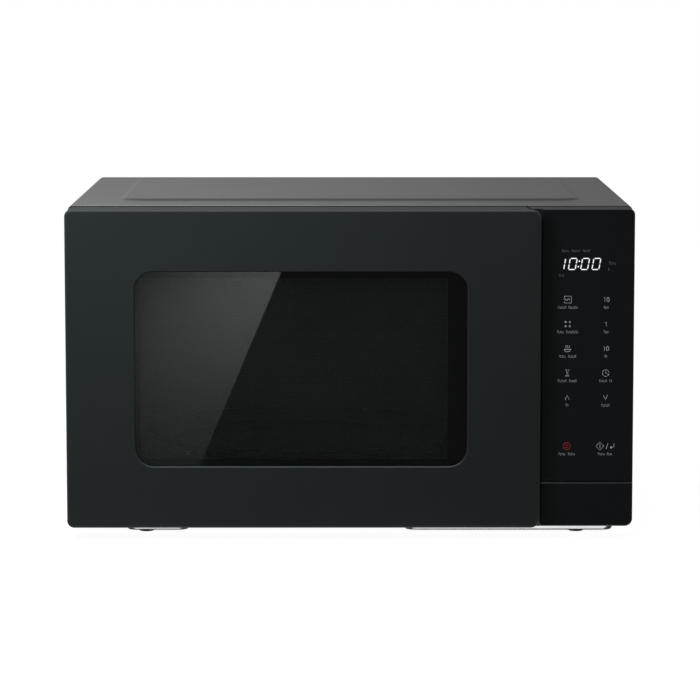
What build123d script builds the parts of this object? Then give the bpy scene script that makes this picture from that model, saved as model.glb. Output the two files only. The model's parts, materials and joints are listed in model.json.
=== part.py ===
import os
from math import atan2, cos, degrees, radians, sin

from build123d import *

# Counter-top microwave oven, millimetres. X to the right, Y to the back, Z up.
# Origin on the floor, in the middle of the oven's footprint.

# Overall size
oven_width = 485.0
oven_depth = 404.0
oven_height = 287.0

# Clearances
seat = 0.3  # a piece that sits in another
running = 0.05  # a shaft in its bearing, on radius

# Sheet metal cabinet
sheet = 1.0
wrap_corner = 5.0
wrap_edge = 0.45  # broken front edge of the wrap
top_emboss = 1.5  # raised field on the wrap's top
emboss_run = 5.0  # length of its slope
emboss_front = 53.0
emboss_rear = 33.0
emboss_side = 40.0
emboss_corner = 20.0
skirt = 11.1  # lower edge of wrap, door and panel over the floor
rear_bulge = 8.0
rear_flange = 12.0
base_flange = 10.0
pad_height = 1.8  # underside of the embossed pads over the floor
pad_slope = 30.0
foot_radius = 8.0
foot_neck = 3.5
left_foot_side = 65.0  # foot centre from the wrap's left side
right_foot_side = 45.5
foot_inset = 16.0  # foot centre behind the wrap's front edge and before its rear edge
screw_radius = 1.6
screw_head = 3.6

# Door
door_depth = 36.5
door_gap = 1.5  # back of the door to the front plate
door_drop = 1.1  # top of the door under the wrap's top
door_corner = 6.0
latch_corner = 8.0  # door's corners on the latch side
door_edge = 2.5
door_skin = 3.0
door_wall = 2.5
door_lip = 4.0  # straight sides behind the front
door_taper = 5.0  # latch side leans in towards the back
notch_side = (10.0, 12.0)  # notches at the latch corners, behind the lip and at the back
notch_height = 9.0
notch_slit = 1.7  # open between door and panel beside the notch
window_corner = 16.0
window_side = 59.1  # door's hinge edge to the window
window_rise = 53.4  # door's lower edge to the window
window_latch_side = 62.5
window_drop = 52.9
window_bevel = 0.9
pane_lap = 8.0
pane = 3.0
choke_depth = 14.0
choke_width = 26.0
cover_thickness = 2.5
post_radius = 4.0

# Hinges
hinge_radius = 10.0  # rounding of the door's hinge edge, about the hinge axis
hinge_inset = 14.0  # hinge tongues from the door's top and bottom
tongue = 2.5
tongue_width = 14.0
hinge_slot = 5.0
pin_radius = 3.0
pin_grip = 12.0

# Latch and opening gear
latch_inset = 13.5  # hooks from the door's latch edge
hook = 4.0  # thickness of the hooks
hook_arm = 8.0
hook_reach = 29.5  # tip of the hooks behind the back of the door
hook_nose = 8.0
hook_drop = 5.0
upper_hook_drop = 58.4  # upper hook under the door's top
lower_hook_rise = 60.9
latch_lift = 4.0
hook_clear = 0.4  # hook over its catch at rest
button_travel = 5.0
lever_arm = 20.0
lever_radius = 3.0

# Control panel
panel_width = 79.2
panel_gap = 0.8
panel_setback = 10.0  # panel face behind the door face
panel_skin = 2.5
panel_edge = 1.0
panel_corner = 5.0
button_corner = 6.5
film = 0.6
button_height = 38.5
button_seam = 0.5
button_rim = 2.0  # frame's flange behind the button
button_wall = 2.0
pusher_radius = 4.0
pusher_side = 12.0  # pusher from the panel's inner edge
board = 1.6
display_width = 46.0
display_height = 18.0
display_drop = 48.0  # display centre under the panel's top

# Cavity
cavity_lap = 28.3  # cavity's sides beyond the window
cavity_head = 31.5  # ceiling under the wrap's top
cavity_rear = 15.0  # back wall before the rear panel
cavity_floor = 42.0
cavity_corner = 3.0
track_rim = 22.0  # track's edge inside the tray's
track_drop = 3.0
shaft_hole = 9.0

# Turntable
tray_radius = 144.0
tray_glass = 4.0
tray_rim = 14.0
roller_radius = 7.0
roller_width = 7.0
roller_rim = 34.0  # rollers' middle inside the tray's edge
axle_radius = 2.5
ring_rim = 44.0
ring_width = 6.0
ring_height = 5.0
shaft_radius = 3.5
coupler_radius = 8.0
coupler_arm = 24.0
motor_radius = 25.0
motor_height = 18.0

# Microwave source
waveguide_height = 38.0
waveguide_width = 90.0
waveguide_drop = 14.0  # under the cavity's ceiling
magnetron_rear = 148.0  # magnetron's middle before the rear panel
yoke_width = 90.0
yoke_depth = 72.0
yoke_height = 62.0
yoke_wall = 1.5
fin_count = 6
fin = 0.8
anode_radius = 17.0
antenna_radius = 7.5
filter_height = 28.0
core_width = 84.0
core_stack = 56.0
core_height = 68.0
core_limb = 28.0
coil_gap = 0.4
capacitor_width = 52.0
capacitor_height = 32.0
capacitor_length = 85.0

# Fan
fan_radius = 44.0
fan_tip_gap = 3.0
fan_blades = 5
fan_hub = 10.0
fan_shaft_radius = 2.0
fan_frame = 104.0

# Main planes
half_width = oven_width / 2
front_y = -oven_depth / 2
door_back = front_y + door_depth
case_front = door_back + door_gap
case_rear = oven_depth / 2 - rear_bulge
case_top = oven_height - top_emboss
inner_x = half_width - sheet
plate_x = inner_x - seat
plate_top = case_top - sheet - seat
plate_back = case_front + sheet
panel_back = case_rear - sheet  # outer face of the rear panel
floor_top = skirt + sheet
pad_floor = pad_height + sheet
left_foot_x = -half_width + left_foot_side
right_foot_x = half_width - right_foot_side

door_left = -half_width
door_right = half_width - panel_width - panel_gap
door_top = case_top - door_drop
window_x = (door_left + window_side, door_right - window_latch_side)
window_z = (skirt + window_rise, door_top - window_drop)
hinge_x = door_left + hinge_radius
hinge_y = door_back - hinge_radius
upper_tongue_z = door_top - hinge_inset
lower_tongue_z = skirt + hinge_inset
latch_x = door_right - latch_inset
upper_hook_z = door_top - upper_hook_drop
lower_hook_z = skirt + lower_hook_rise

cavity_x = sum(window_x) / 2
cavity_left = window_x[0] - cavity_lap
cavity_right = window_x[1] + cavity_lap
cavity_top = case_top - cavity_head
cavity_back = panel_back - sheet - cavity_rear
cavity_depth = cavity_back - plate_back
turn_y = plate_back + cavity_depth / 2
track_radius = tray_radius - track_rim
roller_circle = tray_radius - roller_rim
ring_radius = tray_radius - ring_rim
magnetron_y = panel_back - magnetron_rear
bay_left = cavity_right + sheet  # electronics bay beside the cavity
bay_x = (bay_left + inner_x) / 2

panel_left = door_right + panel_gap
panel_right = half_width
panel_face = front_y + panel_setback
button_top = skirt + button_height
pusher_x = panel_left + pusher_side
pusher_z = skirt + button_height * 0.5


def at_x(x):
    return Plane.YZ.offset(x)


def at_y(y):
    return Plane.XZ.offset(-y)


def at_z(z):
    return Plane.XY.offset(z)


def grown(span, amount):
    return (span[0] - amount, span[1] + amount)


def field(across, up, corner=0.0, mode=Mode.ADD):
    width = across[1] - across[0]
    height = up[1] - up[0]
    with Locations(((across[0] + across[1]) / 2, (up[0] + up[1]) / 2)):
        if corner > 0:
            RectangleRounded(width, height, corner, mode=mode)
        else:
            Rectangle(width, height, mode=mode)


def upper_corners(sketch, radius):
    fillet(sketch.vertices().group_by(Axis.Y)[-1], radius)


def right_corner(sketch, row, radius):
    fillet(sketch.vertices().group_by(Axis.Y)[row].sort_by(Axis.X)[-1], radius)


# Wrap: top and sides in one bent sheet, with a raised field, side louvres and a rear flange
emboss_x = (-half_width + emboss_side, half_width - emboss_side)
emboss_y = (case_front + emboss_front, case_rear - emboss_rear)
emboss_taper = degrees(atan2(emboss_run, top_emboss))
screw_inset = rear_flange / 2 + sheet / 2
screw_x = half_width - screw_inset
screw_places = [
    (-screw_x, case_top * 0.25),
    (-screw_x, case_top * 0.6),
    (screw_x, case_top * 0.25),
    (screw_x, case_top * 0.6),
    (-half_width * 0.6, case_top - screw_inset),
    (half_width * 0.6, case_top - screw_inset),
]
louvre = (26.0, 3.0)
louvre_pitch = (34.0, 7.0)
louvre_y = case_rear - 70.0
louvre_z = skirt + 75.0

with BuildSketch() as wrap_outline:
    field((-half_width, half_width), (skirt, case_top))
    upper_corners(wrap_outline, wrap_corner)

with BuildPart() as cabinet_wrap:
    with BuildSketch(at_y(case_front)):
        add(wrap_outline.sketch)
    extrude(amount=case_front - case_rear)
    ends = [cabinet_wrap.faces().sort_by(Axis.Y)[i] for i in (0, -1)]
    offset(amount=-sheet, openings=ends + [cabinet_wrap.faces().sort_by(Axis.Z)[0]])
    front_edges = cabinet_wrap.faces().sort_by(Axis.Y)[0].edges()
    bends = front_edges.filter_by(GeomType.CIRCLE).filter_by(lambda e: e.radius > wrap_corner - sheet / 2)
    runs = front_edges.filter_by(GeomType.LINE).filter_by(lambda e: e.length > 2 * sheet)
    top_run = runs.sort_by(Axis.Z)[-1]
    side_runs = runs.filter_by(lambda e: abs(e.center().X) > half_width - sheet / 2)
    chamfer(bends + side_runs + [top_run], wrap_edge)
    with BuildSketch(at_y(case_rear)):
        add(wrap_outline.sketch)
        field(
            (-half_width + rear_flange, half_width - rear_flange),
            (skirt - rear_flange, case_top - rear_flange),
            mode=Mode.SUBTRACT,
        )
    extrude(amount=sheet)
    with BuildSketch(at_z(case_top)):
        field(emboss_x, emboss_y, emboss_corner)
    extrude(amount=top_emboss, taper=emboss_taper)
    with BuildSketch(at_z(case_top - sheet)):
        field(grown(emboss_x, -sheet), grown(emboss_y, -sheet), emboss_corner - sheet)
    extrude(amount=top_emboss, taper=emboss_taper, mode=Mode.SUBTRACT)
    for side in (-1, 1):
        with BuildSketch(at_x(side * half_width)):
            with Locations((louvre_y, louvre_z)):
                with GridLocations(louvre_pitch[0], louvre_pitch[1], 2, 9):
                    Rectangle(louvre[0], louvre[1])
        extrude(amount=-side * 2 * sheet, mode=Mode.SUBTRACT)
    with BuildSketch(at_y(case_rear)):
        with Locations(*screw_places):
            Circle(screw_radius + seat)
    extrude(amount=2 * sheet, mode=Mode.SUBTRACT)

# Base plate: a tray with pads pressed down for the feet and the transformer
base_x = (-plate_x, plate_x)
base_y = (plate_back, panel_back - sheet)
pad_depth = skirt - pad_height
left_pad = (left_foot_x - 21.5, left_foot_x + 41.5)
right_pad = (right_foot_x - 154.0, right_foot_x + 36.0)
small_right_pad = (right_foot_x - 32.0, right_foot_x + 32.0)
front_pad_y = base_y[0] + sheet
rear_pad_y = base_y[1] - sheet
pad_length = 44.0
transformer_pad_length = 132.0
pads = [
    (left_pad, (front_pad_y, front_pad_y + pad_length)),
    (right_pad, (front_pad_y, front_pad_y + transformer_pad_length)),
    (left_pad, (rear_pad_y - pad_length, rear_pad_y)),
    (small_right_pad, (rear_pad_y - pad_length, rear_pad_y)),
]
pad_corner = 14.0
foot_places = [
    (x, y)
    for x in (left_foot_x, right_foot_x)
    for y in (case_front + foot_inset, case_rear - foot_inset - 3 * sheet)
]

with BuildPart() as base_plate:
    with BuildSketch(at_z(skirt)):
        field(base_x, base_y)
    extrude(amount=sheet + base_flange)
    offset(amount=-sheet, openings=[base_plate.faces().sort_by(Axis.Z)[-1]])
    for across, along in pads:
        with BuildSketch(at_z(skirt)):
            field(across, along, pad_corner)
        extrude(amount=-pad_depth, taper=pad_slope)
        with BuildSketch(at_z(floor_top)):
            field(grown(across, -sheet / 2), grown(along, -sheet / 2), pad_corner - sheet / 2)
        extrude(amount=-pad_depth, taper=pad_slope, mode=Mode.SUBTRACT)
    with BuildSketch(at_z(0)):
        with Locations(*foot_places):
            Circle(foot_neck + seat)
        with Locations((bay_x, case_rear - 110.0)):
            with GridLocations(11.0, 40.0, 6, 2):
                Rectangle(4.0, 30.0)
    extrude(amount=floor_top + sheet, mode=Mode.SUBTRACT)

# Feet: moulded buttons snapped into the pads
with BuildPart() as foot:
    with BuildSketch(Plane.XZ):
        with BuildLine():
            Polyline(
                (0, 0),
                (foot_radius * 0.75, 0),
                (foot_radius, pad_height * 0.7),
                (foot_radius, pad_height),
                (foot_neck, pad_height),
                (foot_neck, pad_floor),
                (foot_neck + 1.5, pad_floor),
                (foot_neck, pad_floor + 2.0),
                (0, pad_floor + 2.0),
                close=True,
            )
        make_face()
    revolve(axis=Axis.Z)

with BuildPart() as feet:
    with Locations(*[(x, y, 0) for x, y in foot_places]):
        add(foot.part)

# Rear panel: drawn bulge behind the cavity, fan grille and cord inlet
fan_x = bay_x
fan_z = cavity_top - waveguide_drop - waveguide_height - yoke_height / 2
bulge_x = (cavity_left + 25.0, cavity_right - 25.0)
bulge_z = (cavity_floor + 10.0, cavity_top - 20.0)
bulge_corner = 24.0
bulge_slope = 35.0
bulge_depth = rear_bulge + sheet
grille_slot = (24.0, 3.2)
cord_x = bay_x + 20.0
cord_z = skirt + 40.0
bush_radius = 9.0

with BuildSketch() as plate_outline:
    field((-plate_x, plate_x), (skirt, plate_top))
    upper_corners(plate_outline, wrap_corner - sheet)

with BuildPart() as rear_panel:
    with BuildSketch(at_y(panel_back)):
        add(plate_outline.sketch)
    extrude(amount=sheet)
    with BuildSketch(at_y(panel_back)):
        field(bulge_x, bulge_z, bulge_corner)
    extrude(amount=-bulge_depth, taper=bulge_slope)
    with BuildSketch(at_y(panel_back - sheet)):
        field(grown(bulge_x, -sheet / 2), grown(bulge_z, -sheet / 2), bulge_corner - sheet / 2)
    extrude(amount=-bulge_depth, taper=bulge_slope, mode=Mode.SUBTRACT)
    with BuildSketch(at_y(panel_back)):
        with Locations((fan_x, fan_z)):
            with GridLocations(29.0, 6.6, 3, 12):
                Rectangle(grille_slot[0], grille_slot[1])
        with Locations((cord_x, cord_z)):
            Circle(bush_radius)
        with Locations(*screw_places):
            Circle(screw_radius + seat / 2)
    extrude(amount=sheet, mode=Mode.SUBTRACT)

with BuildPart() as cord_bush:
    with BuildSketch(at_y(panel_back)) as bush_ring:
        with Locations((cord_x, cord_z)):
            Circle(bush_radius + 3.0)
            Circle(4.0, mode=Mode.SUBTRACT)
    extrude(amount=-3.0)
    with BuildSketch(at_y(panel_back)):
        with Locations((cord_x, cord_z)):
            Circle(bush_radius)
            Circle(4.0, mode=Mode.SUBTRACT)
    extrude(amount=sheet + 3.0)

with BuildPart() as cabinet_screws:
    with BuildSketch(at_y(case_rear)):
        with Locations(*screw_places):
            Circle(screw_head)
    extrude(amount=-2.0, taper=12)
    with BuildSketch(at_y(case_rear)):
        with Locations(*screw_places):
            Circle(screw_radius)
    extrude(amount=4 * sheet)

# Front plate: the flange that the door closes on, with the cavity's mouth
hook_slot = (latch_x - hook / 2 - 1.5, latch_x + hook / 2 + 3.5)
hook_heights = (lower_hook_z, upper_hook_z)
hook_top = hook_arm / 2 + latch_lift + 1.5
hook_bottom = hook_arm / 2 + hook_drop + 1.5
pusher_hole = pusher_radius + 4.0

with BuildPart() as front_plate:
    with BuildSketch(at_y(case_front)):
        add(plate_outline.sketch)
        field((cavity_left, cavity_right), (cavity_floor, cavity_top), cavity_corner, Mode.SUBTRACT)
        for z in hook_heights:
            field(hook_slot, (z - hook_bottom, z + hook_top), mode=Mode.SUBTRACT)
        for z in (lower_tongue_z, upper_tongue_z):
            field(
                grown((hinge_x, hinge_x), tongue_width / 2),
                grown((z, z), tongue / 2),
                mode=Mode.SUBTRACT,
            )
        with Locations((pusher_x, pusher_z)):
            Circle(pusher_hole, mode=Mode.SUBTRACT)
        field(
            (panel_left + 16.0, panel_right - 12.0),
            (button_top + 30.0, door_top - 30.0),
            6.0,
            Mode.SUBTRACT,
        )
    extrude(amount=-sheet)

# Oven cavity: drawn box with the turntable's track, air and lamp holes and the feed port
port_y = grown((magnetron_y, magnetron_y), waveguide_width / 2 - 10.0)
guide_z = (cavity_top - waveguide_drop - waveguide_height, cavity_top - waveguide_drop)
port_z = grown(guide_z, -6.0)
lamp_y = plate_back + 62.0
lamp_z = cavity_top - 48.0
intake_y = magnetron_y - yoke_depth / 2 - 16.0
air_hole = 2.0
track_floor = cavity_floor - track_drop

with BuildPart() as oven_cavity:
    with BuildSketch(at_y(plate_back)):
        field(
            grown((cavity_left, cavity_right), sheet),
            grown((cavity_floor, cavity_top), sheet),
            cavity_corner + sheet,
        )
    extrude(amount=-cavity_depth - sheet)
    fillet(oven_cavity.faces().sort_by(Axis.Y)[-1].edges(), cavity_corner + sheet)
    offset(amount=-sheet, openings=[oven_cavity.faces().sort_by(Axis.Y)[0]])
    with BuildSketch(at_z(cavity_floor - sheet)):
        with Locations((cavity_x, turn_y)):
            Circle(track_radius + sheet)
    extrude(amount=-track_drop)
    with BuildSketch(at_z(cavity_floor)):
        with Locations((cavity_x, turn_y)):
            Circle(track_radius)
    extrude(amount=-track_drop, mode=Mode.SUBTRACT)
    with BuildSketch(at_z(cavity_floor)):
        with Locations((cavity_x, turn_y)):
            Circle(shaft_hole)
    extrude(amount=-track_drop - 2 * sheet, mode=Mode.SUBTRACT)
    with BuildSketch(at_x(cavity_right)):
        field(port_y, port_z, 3.0)
        with Locations((lamp_y, lamp_z)):
            with GridLocations(7.0, 7.0, 3, 4):
                RegularPolygon(air_hole, 6)
        with Locations((intake_y, fan_z)):
            with GridLocations(7.0, 7.0, 3, 5):
                RegularPolygon(air_hole, 6)
    extrude(amount=sheet, mode=Mode.SUBTRACT)
    with BuildSketch(at_x(cavity_left)):
        with Locations((cavity_back - 60.0, cavity_top - 40.0)):
            with GridLocations(7.0, 7.0, 6, 3):
                RegularPolygon(air_hole, 6)
    extrude(amount=-sheet, mode=Mode.SUBTRACT)

with BuildPart() as waveguide_cover:
    with BuildSketch(at_x(cavity_right)):
        field(grown(port_y, 8.0), grown(port_z, 5.0), 4.0)
    extrude(amount=-0.8)

# Waveguide: box from the magnetron's antenna to the feed port, open to the cavity
guide_x = (bay_left, bay_x + yoke_width / 2)
guide_y = grown((magnetron_y, magnetron_y), waveguide_width / 2)
antenna_flange = antenna_radius + 4.5

with BuildPart() as waveguide:
    with BuildSketch(at_z(guide_z[0])):
        field(guide_x, guide_y)
    extrude(amount=waveguide_height)
    fillet(waveguide.edges().filter_by(Axis.Y).group_by(Axis.Z)[-1].sort_by(Axis.X)[-1], 12.0)
    offset(amount=-sheet, openings=[waveguide.faces().sort_by(Axis.X)[0]])
    with BuildSketch(at_z(guide_z[0])):
        with Locations((bay_x, magnetron_y)):
            Circle(antenna_flange + seat)
    extrude(amount=sheet, mode=Mode.SUBTRACT)

# Magnetron under the waveguide: yoke, finned anode, antenna and filter box
yoke_x = grown((bay_x, bay_x), yoke_width / 2)
yoke_y = grown((magnetron_y, magnetron_y), yoke_depth / 2)
yoke_z = (guide_z[0] - yoke_height, guide_z[0])

with BuildPart() as magnetron_yoke:
    with BuildSketch(at_y(yoke_y[0])):
        field(yoke_x, yoke_z, 3.0)
        field(grown(yoke_x, -yoke_wall), grown(yoke_z, -yoke_wall), 1.5, Mode.SUBTRACT)
    extrude(amount=-yoke_depth)

fin_pitch = (yoke_height - 2 * yoke_wall) / (fin_count + 1)
with BuildPart() as magnetron_fins:
    with BuildSketch(at_z(yoke_z[0] + yoke_wall)):
        with Locations((bay_x, magnetron_y)):
            Circle(anode_radius)
    extrude(amount=yoke_height - 2 * yoke_wall)
    for i in range(fin_count):
        with BuildSketch(at_z(yoke_z[0] + yoke_wall + (i + 1) * fin_pitch)):
            field(grown(yoke_x, -yoke_wall - seat), grown(yoke_y, -3.0))
        extrude(amount=fin)

with BuildPart() as magnetron_antenna:
    with BuildSketch(at_z(guide_z[0])):
        with Locations((bay_x, magnetron_y)):
            Circle(antenna_flange)
    extrude(amount=sheet + 0.5)
    with BuildSketch(at_z(guide_z[0])):
        with Locations((bay_x, magnetron_y)):
            Circle(antenna_radius)
    extrude(amount=waveguide_height * 0.7)
    chamfer(magnetron_antenna.faces().sort_by(Axis.Z)[-1].edges(), 1.5)

filter_x = grown((bay_x, bay_x), yoke_width / 3)
filter_y = grown((magnetron_y, magnetron_y), yoke_depth * 0.38)
with BuildPart() as magnetron_filter_box:
    with BuildSketch(at_z(yoke_z[0])):
        field(filter_x, filter_y, 4.0)
    extrude(amount=-filter_height)
    with BuildSketch(at_y(filter_y[0])):
        field(grown((bay_x, bay_x), 12.0), grown((yoke_z[0] - filter_height / 2,) * 2, 7.0), 2.0)
    extrude(amount=8.0)

# High-voltage transformer on its pad, capacitor with its clamp, diode
core_x = bay_x - 6.0
core_y = front_pad_y + transformer_pad_length * 0.6
core_window = (core_width - core_limb) / 4
window_foot = pad_floor + core_window / 2 + 2.0
window_tall = core_height - core_window - 2.0

with BuildPart() as transformer_core:
    with BuildSketch(at_y(core_y - core_stack / 2)):
        field(grown((core_x, core_x), core_width / 2), (pad_floor, pad_floor + core_height))
        for side in (-1, 1):
            middle = core_x + side * (core_limb + core_window) / 2
            field(
                grown((middle, middle), core_window / 2),
                (window_foot, window_foot + window_tall - core_window / 2),
                mode=Mode.SUBTRACT,
            )
    extrude(amount=-core_stack)
    with BuildSketch(at_z(pad_floor)):
        field(grown((core_x, core_x), core_width / 2), grown((core_y, core_y), core_stack / 2 + 8.0))
    extrude(amount=2.0)

coil_x = core_limb / 2 + core_window - coil_gap
coil_y = core_stack / 2 + core_window - coil_gap
coil_height = (window_tall - core_window / 2 - 3 * coil_gap - 2.0) / 2
with BuildPart() as transformer_windings:
    for i in range(2):
        start = window_foot + coil_gap + i * (coil_height + coil_gap + 2.0)
        with BuildSketch(at_z(start)):
            with Locations((core_x, core_y)):
                RectangleRounded(2 * coil_x, 2 * coil_y, core_window * 0.6)
                Rectangle(core_limb + coil_gap, core_stack + coil_gap, mode=Mode.SUBTRACT)
        extrude(amount=coil_height)

capacitor_x = bay_x - 14.0
capacitor_y = (magnetron_y - capacitor_length * 0.45, magnetron_y + capacitor_length * 0.55)
with BuildPart() as hv_capacitor:
    with BuildSketch(at_y(capacitor_y[0])):
        with Locations((capacitor_x, floor_top + capacitor_height / 2)):
            RectangleRounded(capacitor_width, capacitor_height, capacitor_height * 0.49)
    extrude(amount=-capacitor_length)
    with BuildSketch(at_y(capacitor_y[1])):
        with Locations((capacitor_x, floor_top + capacitor_height / 2)):
            with GridLocations(capacitor_width * 0.45, 1.0, 2, 1):
                Rectangle(6.0, 1.0)
    extrude(amount=-9.0)

clamp = 1.2
with BuildPart() as capacitor_clamp:
    with BuildSketch(at_y(magnetron_y - 6.0)):
        field(
            grown((capacitor_x, capacitor_x), capacitor_width / 2 + clamp + seat + 12.0),
            (floor_top, floor_top + clamp),
        )
        with Locations((capacitor_x, floor_top + capacitor_height / 2)):
            RectangleRounded(
                capacitor_width + 2 * (clamp + seat),
                capacitor_height + 2 * (clamp + seat),
                capacitor_height * 0.49 + clamp,
            )
            RectangleRounded(
                capacitor_width + 2 * seat,
                capacitor_height + 2 * seat,
                capacitor_height * 0.49,
                mode=Mode.SUBTRACT,
            )
        field(grown((capacitor_x, capacitor_x), capacitor_width), (0.0, floor_top), mode=Mode.SUBTRACT)
    extrude(amount=-14.0)

with BuildPart() as hv_diode:
    with BuildSketch(at_y(capacitor_y[0])):
        with Locations((capacitor_x + capacitor_width / 2 + 22.0, floor_top + 5.0)):
            Circle(4.0)
    extrude(amount=-22.0)
    with BuildSketch(at_z(floor_top)):
        field(
            grown((capacitor_x + capacitor_width / 2 + 22.0,) * 2, 5.0),
            (capacitor_y[0] + 22.0, capacitor_y[0] + 34.0),
        )
    extrude(amount=1.0)
    with BuildSketch(at_z(floor_top)):
        field(
            grown((capacitor_x + capacitor_width / 2 + 22.0,) * 2, 3.0),
            (capacitor_y[0] + 20.0, capacitor_y[0] + 24.0),
        )
    extrude(amount=8.0)

# Cooling fan behind the magnetron: frame, shaded-pole motor, shaft and blades
frame_y = yoke_y[1] + 68.0
fan_bore = fan_radius + fan_tip_gap
post_places = [(x, z) for x in (-1, 1) for z in (-1, 1)]
fan_post = fan_frame / 2 - 5.0
with BuildPart() as fan_shroud:
    with BuildSketch(at_y(frame_y)):
        with Locations((fan_x, fan_z)):
            RectangleRounded(fan_frame, fan_frame, 6.0)
            Circle(fan_bore, mode=Mode.SUBTRACT)
    extrude(amount=2.5)
    with BuildSketch(at_y(frame_y)):
        with Locations((fan_x, fan_z)):
            Circle(fan_bore + 2.0)
            Circle(fan_bore, mode=Mode.SUBTRACT)
    extrude(amount=16.0)
    with BuildSketch(at_y(frame_y)):
        with Locations(*[(fan_x + x * fan_post, fan_z + z * fan_post) for x, z in post_places]):
            Circle(4.0)
    extrude(amount=frame_y - panel_back + sheet)

motor_face = panel_back - sheet - 26.0
with BuildPart() as fan_motor:
    with BuildSketch(at_y(motor_face + 6.0)):
        with Locations((fan_x, fan_z)):
            RectangleRounded(46.0, 56.0, 3.0)
    extrude(amount=motor_face + 6.0 - panel_back + sheet)
    with BuildSketch(at_y(motor_face + 6.0)):
        with Locations((fan_x, fan_z)):
            Circle(11.0)
    extrude(amount=6.0)
    with BuildSketch(at_y(motor_face)):
        with Locations((fan_x, fan_z)):
            Circle(fan_shaft_radius + running)
    extrude(amount=-20.0, mode=Mode.SUBTRACT)

blade_y = frame_y - 8.0
with BuildPart() as fan_shaft:
    with BuildSketch(at_y(blade_y - 8.0)):
        with Locations((fan_x, fan_z)):
            Circle(fan_shaft_radius)
    extrude(amount=blade_y - 8.0 - motor_face - 19.0)

blade_tilt = 32.0
blade_chord = 26.0
with BuildPart() as fan_blade:
    with BuildSketch(at_y(blade_y - 7.0)):
        with Locations((fan_x, fan_z)):
            Circle(fan_hub)
    extrude(amount=-14.0)
    for i in range(fan_blades):
        turn = radians(360 / fan_blades * i)
        radial = Vector(cos(turn), 0, sin(turn))
        around = Vector(-sin(turn), 0, cos(turn))
        normal = Vector(0, 1, 0) * cos(radians(blade_tilt)) + around * sin(radians(blade_tilt))
        blade_plane = Plane(origin=(fan_x, blade_y, fan_z), x_dir=radial, z_dir=normal)
        with BuildSketch(blade_plane) as blade_outline:
            with BuildLine():
                root = (fan_hub - 1.5, blade_chord * 0.22)
                tip = (fan_radius - 4.0, blade_chord * 0.5)
                end = (fan_radius - 4.0, -blade_chord * 0.5)
                heel = (fan_hub - 1.5, -blade_chord * 0.22)
                Line(heel, root)
                Line(root, tip)
                ThreePointArc(tip, (fan_radius - 1.5, 0), end)
                Line(end, heel)
            make_face()
        extrude(amount=0.6, both=True)
    with BuildSketch(at_y(blade_y - 8.0)):
        with Locations((fan_x, fan_z)):
            Circle(fan_shaft_radius)
    extrude(amount=-18.0, mode=Mode.SUBTRACT)

# Air guide: turns the air from the magnetron into the cavity's intake holes
guide_depth = 32.0
with BuildPart() as air_guide:
    with BuildSketch(at_z(yoke_z[0])):
        field((bay_left, yoke_x[1]), (yoke_y[0] - guide_depth, yoke_y[0]))
    extrude(amount=yoke_height)
    corner_edge = air_guide.edges().filter_by(Axis.Z).sort_by(Axis.X)[-2:].sort_by(Axis.Y)[0]
    fillet(corner_edge, guide_depth - 6.0)
    open_faces = [air_guide.faces().sort_by(Axis.X)[0], air_guide.faces().sort_by(Axis.Y)[-1]]
    offset(amount=-1.5, openings=open_faces)

# Noise filter board on stand-offs, thermal cut-outs, lamp
noise_gap = 22.0
noise_depth = 40.0
noise_height = 70.0
stand_off = 5.0
noise_y = (yoke_y[1] + noise_gap, yoke_y[1] + noise_gap + noise_depth)
noise_z = (skirt + noise_gap, skirt + noise_gap + noise_height)
with BuildPart() as noise_filter_board:
    with BuildSketch(at_x(bay_left + stand_off)):
        field(noise_y, noise_z)
    extrude(amount=board)
    with BuildSketch(at_x(bay_left)):
        for y in grown(noise_y, -5.0):
            for z in grown(noise_z, -5.0):
                with Locations((y, z)):
                    Circle(3.0)
    extrude(amount=stand_off)
    with BuildSketch(at_x(bay_left + stand_off + board)):
        with Locations((sum(noise_y) / 2, noise_z[0] + noise_height * 0.26)):
            Circle(noise_depth * 0.22)
        with Locations((sum(noise_y) / 2, noise_z[1] - noise_height * 0.37)):
            RectangleRounded(noise_depth * 0.6, noise_height * 0.17, 1.0)
        with Locations((sum(noise_y) / 2, noise_z[1] - noise_height * 0.14)):
            SlotOverall(noise_depth * 0.65, noise_height * 0.09)
    extrude(amount=12.0)

cutout_radius = 8.0
cutout_height = 7.0
cutout_side = 60.0
with BuildPart() as thermal_cutouts:
    with BuildSketch(at_z(cavity_top + sheet)):
        with Locations((cavity_right - cutout_side, turn_y)):
            Circle(cutout_radius)
    extrude(amount=cutout_height)
    with BuildSketch(at_z(guide_z[1])):
        with Locations((bay_x, magnetron_y)):
            Circle(cutout_radius)
    extrude(amount=cutout_height)

lamp_x = bay_left + 17.0
shelf_z = lamp_z + 32.0
bulb_radius = 10.0
with BuildPart() as lamp_socket:
    with BuildSketch(at_x(bay_left)):
        field(grown((lamp_y, lamp_y), 22.0), (lamp_z - 20.0, shelf_z), 3.0)
        with Locations((lamp_y, lamp_z)):
            Circle(15.0, mode=Mode.SUBTRACT)
    extrude(amount=1.5)
    with BuildSketch(at_z(shelf_z)):
        field((bay_left, lamp_x + 14.0), grown((lamp_y, lamp_y), 14.0))
    extrude(amount=-1.5)
    with BuildSketch(at_z(shelf_z - 1.5)):
        with Locations((lamp_x, lamp_y)):
            Circle(bulb_radius - 1.0)
    extrude(amount=-11.0)

with BuildPart() as cavity_lamp:
    with BuildSketch(at_z(shelf_z - 12.5)):
        with Locations((lamp_x, lamp_y)):
            Circle(bulb_radius)
    extrude(amount=-30.0)
    chamfer(cavity_lamp.faces().sort_by(Axis.Z)[0].edges(), 2 * bulb_radius, bulb_radius * 0.5)

# Turntable: glass tray on a roller ring, driven by a coupler on the motor's shaft
roller_z = track_floor + seat + roller_radius
tray_z = roller_z + roller_radius + seat
motor_top = track_floor - sheet
turn_centre = (cavity_x, turn_y)

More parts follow.
